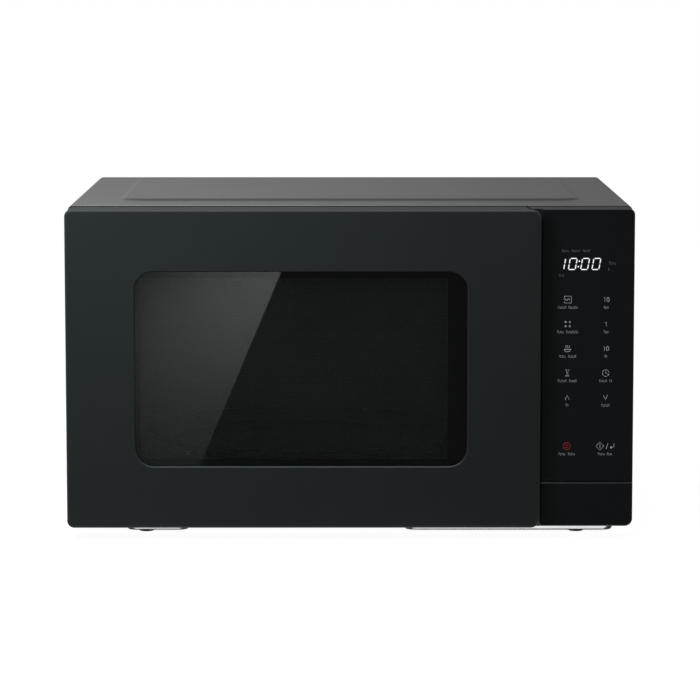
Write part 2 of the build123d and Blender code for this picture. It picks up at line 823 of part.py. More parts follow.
with BuildPart() as turntable_motor:
    with BuildSketch(at_z(motor_top)):
        with Locations(turn_centre):
            Circle(motor_radius)
    extrude(amount=-motor_height)
    with BuildSketch(at_z(motor_top)):
        with Locations(turn_centre):
            SlotOverall(2 * motor_radius + 24.0, 14.0)
    extrude(amount=-2.0)
    with BuildSketch(at_z(motor_top)):
        with Locations(turn_centre):
            Circle(shaft_radius + running)
    extrude(amount=-motor_height * 0.6, mode=Mode.SUBTRACT)

with BuildPart() as motor_shaft:
    with BuildSketch(at_z(motor_top - motor_height * 0.6 + 0.5)):
        with Locations(turn_centre):
            Circle(shaft_radius)
    extrude(amount=tray_z - motor_top + motor_height * 0.6 - 4.0)

with BuildPart() as drive_coupler:
    with BuildSketch(at_z(track_floor + 1.0)):
        with Locations(turn_centre):
            Circle(coupler_radius)
    extrude(amount=tray_z - track_floor - 1.0 - seat)
    with BuildSketch(at_z(tray_z - seat)):
        for i in range(3):
            with Locations(turn_centre):
                with PolarLocations(coupler_arm / 2, 1, 90 + 120 * i):
                    SlotOverall(coupler_arm, 8.0)
    extrude(amount=-6.0)
    with BuildSketch(at_z(track_floor)):
        with Locations(turn_centre):
            Circle(shaft_radius)
    extrude(amount=tray_z - track_floor - 3.0, mode=Mode.SUBTRACT)

with BuildPart() as turntable_tray:
    with BuildSketch(Plane(origin=(cavity_x, turn_y, tray_z), x_dir=(1, 0, 0), z_dir=(0, -1, 0))) as section:
        with BuildLine():
            Polyline(
                (0, 0),
                (tray_radius * 0.86, 0),
                (tray_radius - 3.0, tray_rim - tray_glass * 0.6),
                (tray_radius, tray_rim - tray_glass * 0.6),
                (tray_radius, tray_rim),
                (tray_radius - 6.0, tray_rim),
                (tray_radius * 0.86 - 3.0, tray_glass),
                (0, tray_glass),
                close=True,
            )
        make_face()
        bends = section.vertices().sort_by_distance((tray_radius * 0.86, 0))[:2]
        fillet(bends, 12.0)
    revolve(axis=Axis((cavity_x, turn_y, 0), (0, 0, 1)))
    with BuildSketch(at_z(tray_z)):
        with Locations(turn_centre):
            with PolarLocations(coupler_arm * 0.72, 3, 30):
                Circle(4.0)
    extrude(amount=-5.0)

shoulder = roller_circle - roller_width / 2 - 0.4
cap_start = roller_circle + roller_width / 2 + 0.4
with BuildPart() as roller_ring:
    with BuildSketch(at_z(roller_z - ring_height / 2)):
        with Locations(turn_centre):
            Circle(ring_radius + ring_width / 2)
            Circle(ring_radius - ring_width / 2, mode=Mode.SUBTRACT)
    extrude(amount=ring_height)
    for i in range(3):
        turn = radians(90 + 120 * i)
        out = Vector(cos(turn), sin(turn), 0)
        centre = Vector(cavity_x, turn_y, roller_z)
        for start, end, radius in (
            (ring_radius, shoulder, ring_height * 0.8),
            (ring_radius, cap_start + 1.0, axle_radius),
            (cap_start, cap_start + 2.5, ring_height * 0.7),
        ):
            with BuildSketch(Plane(origin=centre + out * start, z_dir=out)):
                Circle(radius)
            extrude(amount=end - start)


def make_roller(turn_degrees):
    turn = radians(turn_degrees)
    out = Vector(cos(turn), sin(turn), 0)
    hub_centre = Vector(cavity_x, turn_y, roller_z) + out * (roller_circle - roller_width / 2)
    with BuildPart() as roller:
        with BuildSketch(Plane(origin=hub_centre, z_dir=out)):
            Circle(roller_radius)
            Circle(axle_radius + running, mode=Mode.SUBTRACT)
        extrude(amount=roller_width)
        chamfer(roller.edges().group_by(SortBy.LENGTH)[-1], 0.8)
    return roller


roller_1 = make_roller(90)
roller_2 = make_roller(210)
roller_3 = make_roller(330)

# Hinges: tongues through the front plate, with a pin in the door's boss
hinge_flange = 30.0


def make_hinge(z, way):
    with BuildPart() as hinge:
        with BuildSketch(at_z(z - tongue / 2)):
            field(
                grown((hinge_x, hinge_x), tongue_width / 2 - seat / 2),
                (hinge_y, plate_back + tongue),
            )
            with Locations((hinge_x, hinge_y)):
                Circle(tongue_width / 2 - seat / 2)
                Circle(pin_radius, mode=Mode.SUBTRACT)
        extrude(amount=tongue)
        with BuildSketch(at_y(plate_back)):
            field(
                grown((hinge_x, hinge_x), tongue_width / 2 - seat / 2),
                sorted((z - way * tongue / 2, z + way * hinge_flange)),
                2.0 if tongue > 4 else 0.0,
            )
        extrude(amount=-tongue)
    return hinge


upper_hinge = make_hinge(upper_tongue_z, -1)
lower_hinge = make_hinge(lower_tongue_z, 1)

with BuildPart() as hinge_pins:
    for z, way in ((upper_tongue_z, -1), (lower_tongue_z, 1)):
        with BuildSketch(at_z(z - way * tongue / 2)):
            with Locations((hinge_x, hinge_y)):
                Circle(pin_radius)
        extrude(amount=way * (tongue + (hinge_slot - tongue) / 2 + pin_grip - 1.0))

# Door panel: moulded front with the window opening, hinge bosses, latch guides and screw posts
door_x = (door_left, door_right)
door_z = (skirt, door_top)
choke_x = (hinge_x + hinge_radius + 4.0, latch_x - hook / 2 - 6.5)
choke_z = (skirt + door_wall + 4.0, door_top - door_wall - 4.0)
screen_x = grown(choke_x, -choke_width)
screen_z = grown(choke_z, -choke_width)
cover_front = door_back - cover_thickness
choke_front = cover_front - choke_depth
guide_rib = 3.0
guide_length = 20.0
latch_z = (lower_hook_z - 22.0, upper_hook_z + 22.0)
latch_front = choke_front - 4.0
spring_seat = latch_z[1] + 14.0


def door_outline(outline, inset, lean):
    field((door_left + inset, door_right - inset - lean), grown(door_z, -inset))
    fillet(outline.vertices().group_by(Axis.X)[0], door_corner - inset)
    fillet(outline.vertices().group_by(Axis.X)[-1], latch_corner - inset)


def door_blank(inset, front_inset):
    with BuildPart() as blank:
        with BuildSketch(at_y(front_y + front_inset)) as face:
            door_outline(face, inset, 0)
        extrude(amount=front_inset - door_lip)
        if inset == 0:
            fillet(blank.faces().sort_by(Axis.Y)[0].edges(), door_edge)
        with BuildSketch(at_y(front_y + door_lip)) as bend:
            door_outline(bend, inset, 0)
        with BuildSketch(at_y(front_y + door_depth)) as rear:
            door_outline(rear, inset, door_taper)
        loft(ruled=True)
        notch_front = front_y + door_lip - inset
        for edge, way in ((door_top, -1), (skirt, 1)):
            with BuildSketch(at_z(edge - way)):
                with BuildLine():
                    Polyline(
                        (door_right - notch_side[0] - inset, notch_front),
                        (door_right + 2.0, notch_front),
                        (door_right + 2.0, door_back + 2.0),
                        (door_right - notch_side[1] - inset, door_back + 2.0),
                        close=True,
                    )
                make_face()
            extrude(amount=way * (notch_height + inset + 1.0), mode=Mode.SUBTRACT)
        with BuildSketch(at_z(0)):
            field(
                (door_left - 1.0, hinge_x),
                (hinge_y, door_back + 1.0),
            )
            with Locations((hinge_x, hinge_y)):
                Circle(hinge_radius - inset, mode=Mode.SUBTRACT)
        extrude(amount=door_top + 1.0, mode=Mode.SUBTRACT)
    return blank.part


with BuildPart() as door_panel:
    add(door_blank(0, 0))
    add(door_blank(door_wall, door_skin), mode=Mode.SUBTRACT)
    with BuildSketch(at_y(front_y)):
        field(window_x, window_z, window_corner)
    extrude(amount=-door_skin, mode=Mode.SUBTRACT)
    rim = door_panel.faces().sort_by(Axis.Y)[0].inner_wires()[0].edges()
    chamfer(rim, window_bevel)
    for z, way in ((upper_tongue_z, -1), (lower_tongue_z, 1)):
        boss_start = z + way * hinge_slot / 2
        with BuildSketch(at_z(boss_start)):
            with Locations((hinge_x, hinge_y)):
                Circle(hinge_radius)
                Circle(pin_radius + running, mode=Mode.SUBTRACT)
        extrude(amount=way * pin_grip)
        with BuildSketch(at_z(z - hinge_slot / 2)):
            field(
                (door_left - 1.0, hinge_x + tongue_width / 2 + 1.5),
                (hinge_y - tongue_width / 2 - 1.5, door_back + 1.0),
            )
        extrude(amount=hinge_slot, mode=Mode.SUBTRACT)
    with BuildSketch(at_y(front_y + door_skin)):
        for x in grown(choke_x, -choke_width / 2):
            for z in (choke_z[0] + choke_width / 2, sum(choke_z) / 2, choke_z[1] - choke_width / 2):
                with Locations((x, z)):
                    Circle(post_radius)
    extrude(amount=front_y + door_skin - choke_front)
    for z in (latch_z[0] + 45.0, latch_z[1] - 45.0):
        with BuildSketch(at_z(z - guide_length / 2)):
            field(
                grown((latch_x, latch_x), hook / 2 + seat + guide_rib),
                (front_y + door_skin, latch_front + 9.0),
            )
            field(
                grown((latch_x, latch_x), hook / 2 + seat),
                (latch_front - seat, latch_front + 10.0),
                mode=Mode.SUBTRACT,
            )
        extrude(amount=guide_length)
    with BuildSketch(at_z(spring_seat)):
        field(grown((latch_x, latch_x), 5.0), (front_y + door_skin, latch_front + 11.0))
    extrude(amount=3.0)

with BuildPart() as door_window:
    with BuildSketch(at_y(front_y + door_skin)):
        field(grown(window_x, pane_lap), grown(window_z, pane_lap), window_corner)
    extrude(amount=-pane)

# Door seal: choke channel, perforated screen, clear inner sheet and slotted cover
with BuildPart() as choke_frame:
    with BuildSketch(at_y(choke_front)):
        field(choke_x, choke_z, 4.0)
        field(screen_x, screen_z, mode=Mode.SUBTRACT)
    extrude(amount=-sheet)
    with BuildSketch(at_y(choke_front)):
        field(choke_x, choke_z, 4.0)
        field(grown(choke_x, -sheet), grown(choke_z, -sheet), 4.0 - sheet, Mode.SUBTRACT)
        field(grown(screen_x, sheet), grown(screen_z, sheet))
        field(screen_x, screen_z, mode=Mode.SUBTRACT)
    extrude(amount=-choke_depth)

with BuildPart() as door_screen:
    with BuildSketch(at_y(choke_front)):
        field(screen_x, screen_z)
    extrude(amount=-sheet * 0.8)

with BuildPart() as door_inner_sheet:
    with BuildSketch(at_y(choke_front + sheet * 0.8)):
        field(grown(screen_x, -seat), grown(screen_z, -seat))
    extrude(amount=-1.5)

cover_x = (hinge_x + hinge_radius + 1.0, door_right - door_wall - door_taper - seat)
cover_z = grown(door_z, -door_wall - seat)
with BuildPart() as choke_cover:
    with BuildSketch(at_y(cover_front)):
        field(cover_x, cover_z, 3.0)
        for z in (cover_z[1] - notch_height / 2, cover_z[0] + notch_height / 2):
            field(
                (door_right - notch_side[1] - door_wall - seat, cover_x[1] + 1.0),
                grown((z, z), notch_height / 2 + seat),
                mode=Mode.SUBTRACT,
            )
        field(screen_x, screen_z, 3.0, Mode.SUBTRACT)
        for z in hook_heights:
            field(
                grown((latch_x, latch_x), hook / 2 + 1.0),
                (z - hook_bottom, z + hook_top),
                1.0,
                Mode.SUBTRACT,
            )
    extrude(amount=-cover_thickness)
    chamfer(choke_cover.faces().sort_by(Axis.Y)[-1].outer_wire().edges(), 0.8)

# Latch: plate in the door with two hooks, pressed down by a spring
hook_end = door_back + hook_reach
with BuildPart() as latch_hooks:
    with BuildSketch(at_x(latch_x - hook / 2)):
        field((latch_front, cover_front - 4.0), latch_z, 2.0)
        for z in hook_heights:
            with BuildLine():
                Polyline(
                    (cover_front - 8.0, z - hook_arm / 2),
                    (hook_end - hook_nose, z - hook_arm / 2),
                    (hook_end - hook_nose, z - hook_arm / 2 - hook_drop),
                    (hook_end - hook_nose * 0.4, z - hook_arm / 2 - hook_drop),
                    (hook_end, z - hook_arm / 2),
                    (hook_end - 2.0, z + hook_arm / 2),
                    (cover_front - 8.0, z + hook_arm / 2),
                    close=True,
                )
            make_face()
    extrude(amount=hook)

spring_radius = 3.2
spring_wire = 1.0
spring_turns = 4
spring_length = spring_seat - latch_z[1] - spring_wire
spring_start = Vector(latch_x, latch_front + 6.0, latch_z[1] + spring_wire / 2)
with BuildPart() as latch_spring:
    with BuildLine(Plane(origin=spring_start)):
        coil = Helix(spring_length / spring_turns, spring_length, spring_radius)
    with BuildSketch(Plane(origin=coil @ 0, z_dir=coil % 0)):
        Rectangle(spring_wire * 0.7, spring_wire * 0.7)
    sweep(path=coil, is_frenet=True)

# Latch board behind the front plate: catches under the hooks, lever bearings and switches
catch_front = plate_back + 6.0
catch_back = hook_end - hook_nose - 1.6
side_x = latch_x + hook / 2 + 3.8
side_wall = 2.5
latch_board_z = (lower_hook_z - 45.0, upper_hook_z + 26.0)
board_back = hook_end + 8.0
lever_y = plate_back + 2.0 + lever_radius + 1.1
nose_z = lower_hook_z - hook_arm / 2 - hook_drop
lever_tip = 1.5
lever_z = pusher_z + lever_arm

with BuildPart() as latch_board:
    with BuildSketch(at_x(side_x)):
        field((plate_back, board_back), latch_board_z, 3.0)
        with Locations((lever_y, lever_z)):
            Circle(lever_radius + running, mode=Mode.SUBTRACT)
        for z in hook_heights:
            with Locations(((catch_back + board_back) / 2, z)):
                Circle(2.5, mode=Mode.SUBTRACT)
    extrude(amount=side_wall)
    with BuildSketch(at_y(plate_back)):
        field((hook_slot[0] - 4.0, side_x + side_wall), latch_board_z, 2.0)
        for z in hook_heights:
            field((hook_slot[0], side_x), (z - hook_bottom, z + hook_top), mode=Mode.SUBTRACT)
    extrude(amount=-2.0)
    for z in hook_heights:
        top = z - hook_arm / 2 - hook_drop - hook_clear
        with BuildSketch(at_x(hook_slot[0])):
            with BuildLine():
                Polyline(
                    (plate_back, top - 2.5),
                    (catch_front, top),
                    (catch_back, top),
                    (catch_back, top - 4.0),
                    (plate_back, top - 6.0),
                    close=True,
                )
            make_face()
        extrude(amount=side_x - hook_slot[0])

switch_size = (10.0, 26.0, 15.0)
switch_y = (plate_back + 4.0, plate_back + 4.0 + switch_size[1])
with BuildPart() as interlock_switches:
    with BuildSketch(at_x(side_x + side_wall)):
        for z in (lower_hook_z + 14.0, lower_hook_z + 32.0, upper_hook_z + 10.0):
            field(switch_y, grown((z, z), switch_size[2] / 2), 1.0)
    extrude(amount=switch_size[0])

# Release lever: rocking shaft, one arm pushed by the button, one under the lower hook
lever_x = (latch_x - hook / 2, pusher_x + 5.0)
arm_width = 5.0
with BuildPart() as release_lever:
    with BuildSketch(at_x(lever_x[0])):
        with Locations((lever_y, lever_z)):
            Circle(lever_radius)
    extrude(amount=lever_x[1] - lever_x[0])
    tip_y = hook_end - hook_nose * 0.55
    tip_z = nose_z - hook_clear - lever_tip
    with BuildSketch(at_x(lever_x[0])):
        with BuildLine():
            Polyline(
                (lever_y, lever_z - lever_radius),
                (tip_y + lever_tip, lever_z),
                (tip_y + lever_tip, tip_z),
                (tip_y - lever_tip, tip_z),
                (tip_y - lever_tip, lever_z + lever_radius),
                (lever_y, lever_z + lever_radius),
                close=True,
            )
        make_face()
        with Locations((tip_y, tip_z)):
            Circle(lever_tip)
    extrude(amount=hook)
    push_y = plate_back + 4.0 + lever_radius
    with BuildSketch(at_x(pusher_x - arm_width / 2)):
        with BuildLine():
            Polyline(
                (lever_y - lever_radius, lever_z),
                (push_y - 2.0, pusher_z),
                (push_y + 2.0, pusher_z),
                (lever_y + lever_radius, lever_z),
                close=True,
            )
        make_face()
        with Locations((push_y, pusher_z)):
            Circle(lever_radius)
    extrude(amount=arm_width)

# Control panel: moulded frame over a plug for the button, film, display and board
frame_x = (panel_left, panel_right)
frame_z = (button_top, door_top)
skin_back = panel_face + film + panel_skin
plug_inset = button_wall + 0.6
plug_x = grown(frame_x, -plug_inset)
plug_z = (skirt + plug_inset, button_top - button_seam - plug_inset)
plug_front = panel_face + button_wall + button_travel + 5.0
board_y = skin_back + 13.0
board_x = grown(frame_x, -6.0)
board_z = (button_top + 22.0, door_top - 10.0)
display_z = door_top - display_drop
display_x = sum(frame_x) / 2 - 3.0
guide_radius = pusher_radius + 3.0


def corner_tongue(front, edge, way, side):
    # reaches into the notch at the door's latch corner
    gap = panel_gap * 0.55
    with BuildPart() as tongue:
        for start, right in ((front, side), (case_front - button_rim, panel_left + panel_edge * 1.5)):
            with BuildSketch(at_z(edge)):
                with BuildLine():
                    Polyline(
                        (door_right - notch_side[0] + notch_slit, start),
                        (right, start),
                        (right, case_front),
                        (door_right - notch_side[1] + notch_slit, case_front),
                        close=True,
                    )
                make_face()
            extrude(amount=way * notch_height)
        add(door_blank(-gap, -1.0), mode=Mode.SUBTRACT)
        with BuildSketch(at_z(edge + way * (notch_height - gap))):
            field((door_left, door_right), (front - 1.0, case_front + 1.0))
        extrude(amount=way * notch_height, mode=Mode.SUBTRACT)
    return tongue.part


with BuildPart() as control_frame:
    with BuildSketch(at_y(panel_face + film)) as face_outline:
        field(frame_x, frame_z)
        right_corner(face_outline, -1, panel_corner)
    extrude(amount=panel_face + film - case_front)
    outer = control_frame.faces().sort_by(Axis.Y)[0].edges()
    fillet(outer, panel_edge)
    offset(amount=-panel_skin, openings=[control_frame.faces().sort_by(Axis.Y)[-1]])
    tongue_front = panel_face + film + seat
    add(corner_tongue(tongue_front, door_top, -1, panel_left + panel_edge * 1.5))
    add(corner_tongue(tongue_front, skirt, 1, panel_left - seat))
    with BuildSketch(at_y(plug_front)):
        field(plug_x, plug_z, door_corner - plug_inset)
    extrude(amount=plug_front - case_front)
    with BuildSketch(at_y(case_front)) as rim_outline:
        field(frame_x, (skirt, button_top + panel_skin))
        right_corner(rim_outline, 0, button_corner)
    extrude(amount=button_rim)
    with BuildSketch(at_y(plug_front + 2.0)):
        field(grown(plug_x, -2.0), grown(plug_z, -2.0), 1.5)
    extrude(amount=plug_front + 2.0 - case_front, mode=Mode.SUBTRACT)
    with BuildSketch(at_y(plug_front)):
        with Locations((pusher_x, pusher_z)):
            Circle(guide_radius)
    extrude(amount=-12.0)
    with BuildSketch(at_y(plug_front)):
        with Locations((pusher_x, pusher_z)):
            Circle(pusher_radius + running)
    extrude(amount=-12.0, mode=Mode.SUBTRACT)
    with BuildSketch(at_y(panel_face)):
        with Locations((display_x, display_z)):
            Rectangle(display_width - 2.0, display_height - 2.0)
    extrude(amount=-panel_skin - film - 1.0, mode=Mode.SUBTRACT)
    with BuildSketch(at_y(skin_back)):
        for x in grown(board_x, -4.0):
            for z in grown(board_z, -4.0):
                with Locations((x, z)):
                    Circle(3.0)
    extrude(amount=skin_back - board_y)

with BuildPart() as control_film:
    with BuildSketch(at_y(panel_face + film)) as film_outline:
        field(grown(frame_x, -panel_edge), (frame_z[0] + panel_edge, frame_z[1] - panel_edge))
        right_corner(film_outline, -1, panel_corner - panel_edge)
    extrude(amount=film)

with BuildPart() as display_module:
    with BuildSketch(at_y(skin_back)):
        with Locations((display_x, display_z)):
            RectangleRounded(display_width, display_height, 1.0)
    extrude(amount=skin_back - board_y)

with BuildPart() as control_board:
    with BuildSketch(at_y(board_y)):
        field(board_x, board_z)
    extrude(amount=-board)
    with BuildSketch(at_y(board_y + board)):
        with Locations((sum(board_x) / 2, board_z[0] + 60.0)):
            with GridLocations(24.0, 40.0, 2, 2):
                RectangleRounded(16.0, 22.0, 1.0)
    extrude(amount=-6.0)

# Door release button: a cap that slides over the frame's plug
button_z = (skirt, button_top - button_seam)
with BuildPart() as release_button:
    with BuildSketch(at_y(panel_face)) as cap_outline:
        field(frame_x, button_z)
        right_corner(cap_outline, 0, button_corner)
    cap_length = panel_face - case_front + button_rim + button_travel + button_seam
    extrude(amount=cap_length)
    fillet(release_button.faces().sort_by(Axis.Y)[0].edges(), panel_edge)
    offset(amount=-button_wall, openings=[release_button.faces().sort_by(Axis.Y)[-1]])
    with BuildSketch(at_y(panel_face + button_wall)):
        with Locations((pusher_x, pusher_z)):
            Circle(pusher_radius)
    extrude(amount=panel_face + button_wall - plate_back - 4.0 + seat)

pieces = {
    "cabinet_wrap": cabinet_wrap,
    "base_plate": base_plate,
    "feet": feet,
    "rear_panel": rear_panel,
    "cord_bush": cord_bush,
    "cabinet_screws": cabinet_screws,
    "front_plate": front_plate,
    "oven_cavity": oven_cavity,
    "waveguide_cover": waveguide_cover,
    "waveguide": waveguide,
    "magnetron_yoke": magnetron_yoke,
    "magnetron_fins": magnetron_fins,
    "magnetron_antenna": magnetron_antenna,
    "magnetron_filter_box": magnetron_filter_box,
    "transformer_core": transformer_core,
    "transformer_windings": transformer_windings,
    "hv_capacitor": hv_capacitor,
    "capacitor_clamp": capacitor_clamp,
    "hv_diode": hv_diode,
    "fan_shroud": fan_shroud,
    "fan_motor": fan_motor,
    "fan_shaft": fan_shaft,
    "fan_blade": fan_blade,
    "air_guide": air_guide,
    "noise_filter_board": noise_filter_board,
    "thermal_cutouts": thermal_cutouts,
    "lamp_socket": lamp_socket,
    "cavity_lamp": cavity_lamp,
    "turntable_motor": turntable_motor,
    "motor_shaft": motor_shaft,
    "drive_coupler": drive_coupler,
    "turntable_tray": turntable_tray,
    "roller_ring": roller_ring,
    "roller_1": roller_1,
    "roller_2": roller_2,
    "roller_3": roller_3,
    "upper_hinge": upper_hinge,
    "lower_hinge": lower_hinge,
    "hinge_pins": hinge_pins,
    "door_panel": door_panel,
    "door_window": door_window,
    "choke_frame": choke_frame,
    "door_screen": door_screen,
    "door_inner_sheet": door_inner_sheet,
    "choke_cover": choke_cover,
    "latch_hooks": latch_hooks,
    "latch_spring": latch_spring,
    "latch_board": latch_board,
    "interlock_switches": interlock_switches,
    "release_lever": release_lever,
    "control_frame": control_frame,
    "control_film": control_film,
    "display_module": display_module,
    "control_board": control_board,
    "release_button": release_button,
}

os.makedirs("parts", exist_ok=True)
for name, piece in pieces.items():
    piece.part.label = name
    export_step(piece.part, f"parts/{name}.step")
    print(name, len(piece.part.solids()), round(piece.part.volume))
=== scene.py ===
import json
import math

import bmesh
import bpy
from mathutils import Matrix, Vector


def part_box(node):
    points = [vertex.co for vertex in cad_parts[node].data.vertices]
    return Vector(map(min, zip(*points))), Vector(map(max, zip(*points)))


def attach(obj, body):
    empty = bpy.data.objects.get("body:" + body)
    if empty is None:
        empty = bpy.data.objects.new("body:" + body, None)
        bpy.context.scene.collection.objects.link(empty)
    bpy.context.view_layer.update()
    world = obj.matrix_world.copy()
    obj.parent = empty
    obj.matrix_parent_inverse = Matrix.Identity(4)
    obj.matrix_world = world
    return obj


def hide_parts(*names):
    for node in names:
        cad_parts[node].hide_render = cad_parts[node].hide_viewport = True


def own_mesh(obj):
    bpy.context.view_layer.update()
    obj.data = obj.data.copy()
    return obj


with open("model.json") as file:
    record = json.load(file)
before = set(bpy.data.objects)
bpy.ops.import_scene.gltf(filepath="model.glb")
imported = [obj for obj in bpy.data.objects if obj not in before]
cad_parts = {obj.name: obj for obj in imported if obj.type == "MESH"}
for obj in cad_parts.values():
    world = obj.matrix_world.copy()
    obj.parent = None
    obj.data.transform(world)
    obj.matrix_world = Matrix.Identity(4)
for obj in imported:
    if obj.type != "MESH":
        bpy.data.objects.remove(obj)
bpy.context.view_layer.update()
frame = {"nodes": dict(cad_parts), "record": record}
nodes = frame["nodes"]
mm = 0.001
scene = bpy.context.scene
scene.view_settings.view_transform = "Standard"
upright = Matrix.Rotation(math.pi / 2, 4, "X")  # turns a flat shape to face the front
print("frame loaded:", len(nodes), "nodes")


class Wire:
    # a shader socket that takes part in sums, so 1 - mask * 0.5 adds the Math nodes
    def __init__(self, look, socket):
        self.look = look
        self.socket = socket

    def reckon(self, operation, first, second=0.0):
        return self.look.add("ShaderNodeMath", {"operation": operation}, {0: first, 1: second})

    def __add__(self, other):
        return self.reckon("ADD", self, other)

    def __radd__(self, other):
        return self.reckon("ADD", other, self)

    def __sub__(self, other):
        return self.reckon("SUBTRACT", self, other)

    def __rsub__(self, other):
        return self.reckon("SUBTRACT", other, self)

    def __mul__(self, other):
        return self.reckon("MULTIPLY", self, other)

    def __rmul__(self, other):
        return self.reckon("MULTIPLY", other, self)

    def __lt__(self, other):
        return self.reckon("LESS_THAN", self, other)

    def __gt__(self, other):
        return self.reckon("GREATER_THAN", self, other)


class Look:
    # the node tree of one material or world
    def __init__(self, owner):
        self.owner = owner
        owner.use_nodes = True
        self.tree = owner.node_tree
        self.tree.nodes.clear()

    def add(self, kind, settings=None, sockets=None, output=0):
        node = self.tree.nodes.new(kind)
        for name, value in (settings or {}).items():
            setattr(node, name, value)
        for key, value in (sockets or {}).items():
            if isinstance(value, Wire):
                self.tree.links.new(value.socket, node.inputs[key])
            else:
                node.inputs[key].default_value = value
        return Wire(self, node.outputs[output]) if node.outputs else None

    def place(self, scale=(1, 1, 1)):
        here = self.add("ShaderNodeTexCoord", output="Object")
        return self.add("ShaderNodeMapping", {}, {"Vector": here, "Scale": scale})

    def noise(self, scale, detail=2.0, stretch=(1, 1, 1), rough=0.5):
        here = self.place(stretch)
        return self.add("ShaderNodeTexNoise", {}, {
            "Vector": here, "Scale": scale, "Detail": detail, "Roughness": rough})

    def cells(self, scale, output="Distance"):
        sockets = {"Vector": self.place(), "Scale": scale}
        return self.add("ShaderNodeTexVoronoi", {}, sockets, output)

    def waves(self, axis, scale):
        sockets = {"Vector": self.place(), "Scale": scale}
        return self.add("ShaderNodeTexWave", {"bands_direction": axis}, sockets)

    def along(self, axis):
        here = self.add("ShaderNodeTexCoord", output="Object")
        return self.add("ShaderNodeSeparateXYZ", {}, {"Vector": here}, axis)

    def blend(self, mask, first, second):
        return self.add("ShaderNodeMix", {"data_type": "RGBA"}, {0: mask, 6: first, 7: second}, 2)

    def step(self, value, low, high):
        sockets = {"Value": value, "From Min": low, "From Max": high}
        return self.add("ShaderNodeMapRange", {"interpolation_type": "SMOOTHSTEP"}, sockets)

    def bump(self, height, strength, distance):
        sockets = {"Strength": strength, "Distance": distance, "Height": height}
        return self.add("ShaderNodeBump", {}, sockets)

    def surface(self, sockets):
        shader = self.add("ShaderNodeBsdfPrincipled", {}, sockets)
        self.add("ShaderNodeOutputMaterial", {}, {"Surface": shader})
        return self.owner


def grey(value):
    return (value, value, value, 1.0)


def tone(colour, factor):
    return tuple(c * factor for c in colour[:3]) + (1.0,)


def material(name):
    return Look(bpy.data.materials.new(name))


def satinPaint(name, colour, rough, peel, specular):
    # stoved enamel: faint cloudiness, orange peel and a fine tooth
    look = material(name)
    cloud = look.noise(14.0, 3.0)
    tooth = look.noise(2600.0, 2.0)
    patch = look.step(cloud, 0.3, 0.7)
    return look.surface({
        "Base Color": look.blend(patch, tone(colour, 0.94), tone(colour, 1.06)),
        "Roughness": rough + (tooth - 0.5) * 0.10,
        "Specular IOR Level": specular,
        "Normal": look.bump(look.noise(420.0, 1.0) + tooth * 0.35, peel, 0.0004),
    })


def mouldedPlastic(name, colour, rough, grain, specular=0.5):
    # moulded plastic: spark-eroded grain, slight variation in gloss
    look = material(name)
    grainHeight = look.noise(3400.0, 3.0, rough=0.65)
    patch = look.noise(24.0, 2.0)
    return look.surface({
        "Base Color": look.blend(patch, tone(colour, 0.93), tone(colour, 1.07)),
        "Roughness": rough + (patch - 0.5) * 0.05 + (grainHeight - 0.5) * 0.08,
        "Specular IOR Level": specular,
        "Normal": look.bump(grainHeight, grain, 0.0002),
    })


def zincSheet(name, colour, rough):
    # zinc-coated sheet: spangle cells of differing shade and gloss, rolling lines
    look = material(name)
    spangle = look.cells(95.0, "Color")
    shade = look.add("ShaderNodeSeparateColor", {}, {"Color": spangle}, "Red")
    rolled = look.noise(60.0, 3.0, stretch=(1, 14, 14))
    return look.surface({
        "Base Color": look.blend(shade, tone(colour, 0.90), tone(colour, 1.06)),
        "Metallic": 1.0,
        "Roughness": rough + (shade - 0.5) * 0.10 + (rolled - 0.5) * 0.10,
        "Normal": look.bump(rolled + shade * 0.3, 0.12, 0.0003),
    })


def bareMetal(name, colour, rough, stretch):
    # drawn or ground metal: fine lines along the work
    look = material(name)
    lines = look.noise(900.0, 3.0, stretch=stretch)
    return look.surface({
        "Base Color": look.blend(lines, tone(colour, 0.90), tone(colour, 1.05)),
        "Metallic": 1.0,
        "Roughness": rough + (lines - 0.5) * 0.16,
        "Normal": look.bump(lines, 0.10, 0.0002),
    })


def clearGlass(name, tint, rough=0.0, waviness=0.02):
    # faint smears and a slow wave over the sheet
    look = material(name)
    smear = look.noise(30.0, 2.0)
    return look.surface({
        "Base Color": look.blend(smear, tone(tint, 0.97), tint),
        "Roughness": rough + smear * 0.02,
        "Transmission Weight": 1.0,
        "IOR": 1.5,
        "Normal": look.bump(look.noise(9.0, 1.0), waviness, 0.001),
    })


def foodEnamel(name, colour):
    # cavity enamel: light, slightly speckled, glossy over faint peel
    look = material(name)
    speck = look.step(look.cells(1300.0), 0.10, 0.24)
    cloud = look.noise(10.0, 2.0)
    ground = look.blend(cloud, tone(colour, 0.97), colour)
    return look.surface({
        "Base Color": look.blend(speck, tone(colour, 0.72), ground),
        "Roughness": 0.34 + cloud * 0.08,
        "Normal": look.bump(look.noise(260.0, 1.0), 0.10, 0.0004),
    })


def stackedSteel(name, colour):
    # varnished transformer laminations: the sheets' edges show as fine lines across Y
    look = material(name)
    sheets = look.waves("Y", 320.0)
    return look.surface({
        "Base Color": look.blend(sheets, tone(colour, 0.55), colour),
        "Metallic": 0.6,
        "Roughness": 0.42 + sheets * 0.15,
        "Normal": look.bump(sheets, 0.35, 0.0003),
    })


def woundWire(name, colour):
    # layers of enamelled wire, one turn over the next in Z
    look = material(name)
    turns = look.waves("Z", 210.0)
    return look.surface({
        "Base Color": look.blend(turns, tone(colour, 0.35), colour),
        "Metallic": 0.8,
        "Roughness": 0.30 + turns * 0.10,
        "Normal": look.bump(turns, 0.6, 0.0004),
    })


